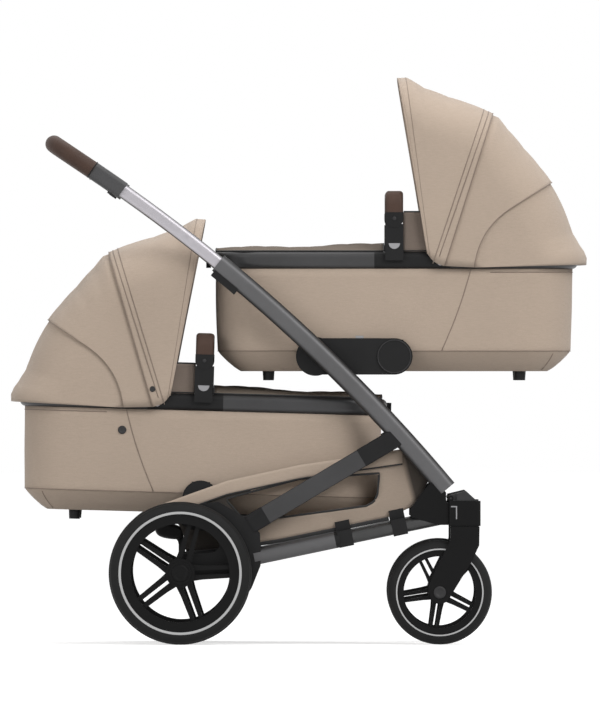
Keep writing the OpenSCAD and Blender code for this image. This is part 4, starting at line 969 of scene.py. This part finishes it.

# The basket is a tan cloth tray slung under the lower cot, with a doubled band around its mouth
# and a black bound opening in each side; its weave is darker as painted shade, darkest at the rear
# corner and in front.
# The basket's weave is a darker copy of the tan weave, as painted shade for its place under the cot.
basket_weave = woven("basket_weave", 0.255, 0.46, TAN, painted_shade_to=-0.1, painted_shade_from=0.3011)
basket_x, basket_z, basket_length, basket_h = -0.2737, 0.194, 0.5304, 0.2
basket_y, basket_t = 0.222, 0.003
outline = [
    (0, 0.466), (0.237, 0.69), (0.516, 0.852), (0.908, 1), (1.008, 0.69), (0.978, 0.537),
    (0.94, 0.42), (0.856, 0.324), (0.44, 0.1), (0.19, 0), (0.08, -0.03), (0.067, 0.19), (0.027, 0.33),
]
mouth = [
    (0.23, 0.507), (0.516, 0.71), (0.82, 0.768), (0.813, 0.55), (0.8, 0.478), (0.77, 0.433),
    (0.44, 0.315), (0.29, 0.325),
]
band_length, band_depth, band_puff, floor_width = 0.56, 0.028, 0.0006, 0.438
side_sag, floor_sag, lower_cord_radius, lower_cord_drop = 0.0025, 0.003, 0.0044, 0.0034


def basket_points(shares):
    return [np.array((basket_x + u * basket_length, basket_z + w * basket_h)) for u, w in shares]


def ray_hit(loop, centre, angle):
    """Where a ray from the centre meets a closed outline."""
    d = np.array((math.cos(angle), math.sin(angle)))
    best = None
    for a, b in zip(loop, loop[1:] + loop[:1]):
        e = b - a
        det = d[0] * -e[1] + d[1] * e[0]
        if abs(det) < 1e-12:
            continue
        f = a - centre
        t = (f[0] * -e[1] + f[1] * e[0]) / det
        s = (d[0] * f[1] - d[1] * f[0]) / det
        if -1e-9 <= s <= 1 + 1e-9 and t > 0 and (best is None or t < best):
            best = t
    return centre + d * best


rim_loop, hole_loop = basket_points(outline), basket_points(mouth)
middle = np.mean(hole_loop, axis=0)
count, across = 120, 7
grids = {}
for s in (1, -1):
    for depth in (0.0, basket_t):
        rows = []
        for k in range(count):
            a = 2 * math.pi * k / count
            outer, inner = ray_hit(rim_loop, middle, a), ray_hit(hole_loop, middle, a)
            row = []
            for t in np.linspace(0, 1, across):
                p = inner + (outer - inner) * t
                sag = side_sag * math.sin(math.pi * t) * (0.6 + 0.4 * math.sin(5 * a))
                row.append((p[0], s * (basket_y - depth - max(0.0, sag)), p[1]))
            rows.append(row)
        grids[s, depth] = rows
for s, side in ((1, "left"), (-1, "right")):
    outer, inner = grids[s, 0.0], grids[s, basket_t]
    points = [p for row in outer for p in row] + [p for row in inner for p in row]
    size = count * across
    faces = []
    for k in range(count):
        here, there = k * across, (k + 1) % count * across
        for j in range(across - 1):
            a, b, c, d = here + j, here + j + 1, there + j + 1, there + j
            faces += [(a, b, c, d), (size + a, size + d, size + c, size + b)]
        faces.append((here, there, size + there, size + here))
        here, there = here + across - 1, there + across - 1
        faces.append((here, size + here, size + there, there))
    wall_piece = mesh_piece("basket_side_" + side, points, faces, basket_weave, "chassis")
    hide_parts("basket")
    total = sum(p.area for p in wall_piece.data.polygons) / 2
    flat = (basket_length, basket_h)
    line = [ray_hit(hole_loop, middle, 2 * math.pi * k / 160) for k in range(160)]
    line = [(x, s * (basket_y - basket_t / 2), z) for x, z in line]
    piece = tube("basket_opening_binding_" + side, line, 0.0024, binding, "chassis", closed=True)
    rows_out, rows_in = [], []
    top = rim_loop[:4]
    for i in range(37):
        t = i / 36 * 3
        k = min(2, int(t))
        p = top[k] + (top[k + 1] - top[k]) * (t - k)
        drop = min(band_depth, 0.006 + 0.2 * t)
        row_out, row_in = [], []
        for j in np.linspace(0, 1, 6):
            puff = band_puff * math.sin(math.pi * j)
            row_out.append((p[0], s * (basket_y + 0.0015 + puff), p[1] - drop * j))
            row_in.append((p[0], s * (basket_y + 0.0002), p[1] - drop * j))
        rows_out.append(row_out)
        rows_in.append(row_in)
    piece = closed_cloth("basket_band_" + side, rows_out, rows_in, weave, "chassis")
    total = sum(p.area for p in piece.data.polygons) / 2
    flat = (band_length, round(total / band_length, 4))
    piece = tube("basket_band_trim_" + side, [row[-1] for row in rows_out], 0.0016, binding, "chassis")
    # A dark cord runs along the basket's lower edge, a little below it.
    hem = [(p[0], s * (basket_y - 0.0018), p[1] - lower_cord_drop) for p in rim_loop[7:11]]
    piece = tube("basket_lower_cord_" + side, hem, lower_cord_radius, binding, "chassis")
under = rim_loop[3:]
path = []
for a, b in zip(under, under[1:]):
    steps = max(1, int(np.linalg.norm(b - a) / 0.02))
    path += [a + (b - a) * k / steps for k in range(steps)]
path.append(under[-1])
tray_out, tray_in = [], []
for i, p in enumerate(path):
    ahead, behind = path[min(i + 1, len(path) - 1)], path[max(i - 1, 0)]
    run = (ahead - behind) / np.linalg.norm(ahead - behind)
    inward = np.array((run[1], -run[0]))
    row_out, row_in = [], []
    for j in range(21):
        v = 1 - 2 * j / 20
        sag = floor_sag * (1 - v * v) * math.sin(math.pi * i / (len(path) - 1))
        q = p + inward * (0.0003 - sag)
        r = p + inward * (basket_t - sag)
        y = v * (basket_y - basket_t - 0.0004)
        row_out.append((q[0], y, q[1]))
        row_in.append((r[0], y, r[1]))
    tray_out.append(row_out)
    tray_in.append(row_in)
piece = closed_cloth("basket_floor", tray_out, tray_in, basket_weave, "chassis")
total = sum(p.area for p in piece.data.polygons) / 2
flat = (floor_width, round(total / floor_width, 3))

# Small fittings: snap studs on the hood and tub, pivot rivets on the carry handles, ring edges
# on the adapters, and the grey catch marks on the caster housings.
stud = [
    (0.0085, 0.0), (0.0085, 0.0012), (0.0075, 0.0022), (0.0055, 0.0024), (0.0048, 0.0016),
    (0.001, 0.0022),
]
small_stud = [(0.7 * radius, 0.7 * height) for radius, height in stud]
rivet = [(0.004, 0.0), (0.004, 0.0008), (0.0032, 0.0013), (0.0008, 0.0015)]
ring_edge = [(0.0345, 0.0), (0.0345, 0.001), (0.0335, 0.0016), (0.0322, 0.001), (0.0322, 0.0)]
mark = [
    (0.306, 0.281), (0.3185, 0.281), (0.3185, 0.2545), (0.3161, 0.2545), (0.3161, 0.2786),
    (0.306, 0.2786),
]
carry_face, carry_pin_up = 0.213, 0.28
housing_face, mark_height, adapter_face = 0.26, 0.0008, 0.2185
tub_snap_at, hood_snap_at = (0.163, 0.135), (0.1035, 0.2195)
for cot in ("upper", "lower"):
    for s, side in ((1, "left"), (-1, "right")):
        place = in_cot(cot, [(0.0, s * carry_face, carry_pin_up)])[0]
        body = cot + "_carry_handle"
        piece = turned(cot + "_carry_rivet_" + side, rivet, place, s, lever_nylon, body, 20)
for s, side in ((1, "left"), (-1, "right")):
    place = in_cot("lower", [(tub_snap_at[0], s * (cot_half + 0.001), tub_snap_at[1])])[0]
    piece = turned("lower_tub_snap_" + side, stud, place, s, lever_nylon, "lower_cot", 24)
    place = in_cot("lower", [(hood_snap_at[0], s * (front_half + 0.0003), hood_snap_at[1])])[0]
    piece = turned("lower_hood_snap_" + side, small_stud, place, s, lever_nylon, "lower_hood_visor", 24)
    points = [(x, s * (housing_face + lift), z) for lift in (0.0, mark_height) for x, z in mark]
    n = len(mark)
    faces = [tuple(range(n)), tuple(range(n, 2 * n))]
    faces += [(k, (k + 1) % n, n + (k + 1) % n, n + k) for k in range(n)]
    piece = mesh_piece("caster_mark_" + side, points, faces, grey_nylon, "chassis", smooth=False)
    place = (mounts["upper"][0], s * adapter_face, mounts["upper"][1])
    piece = turned("adapter_ring_" + side, ring_edge, place, s, lever_nylon, "chassis", 48, ring=True)
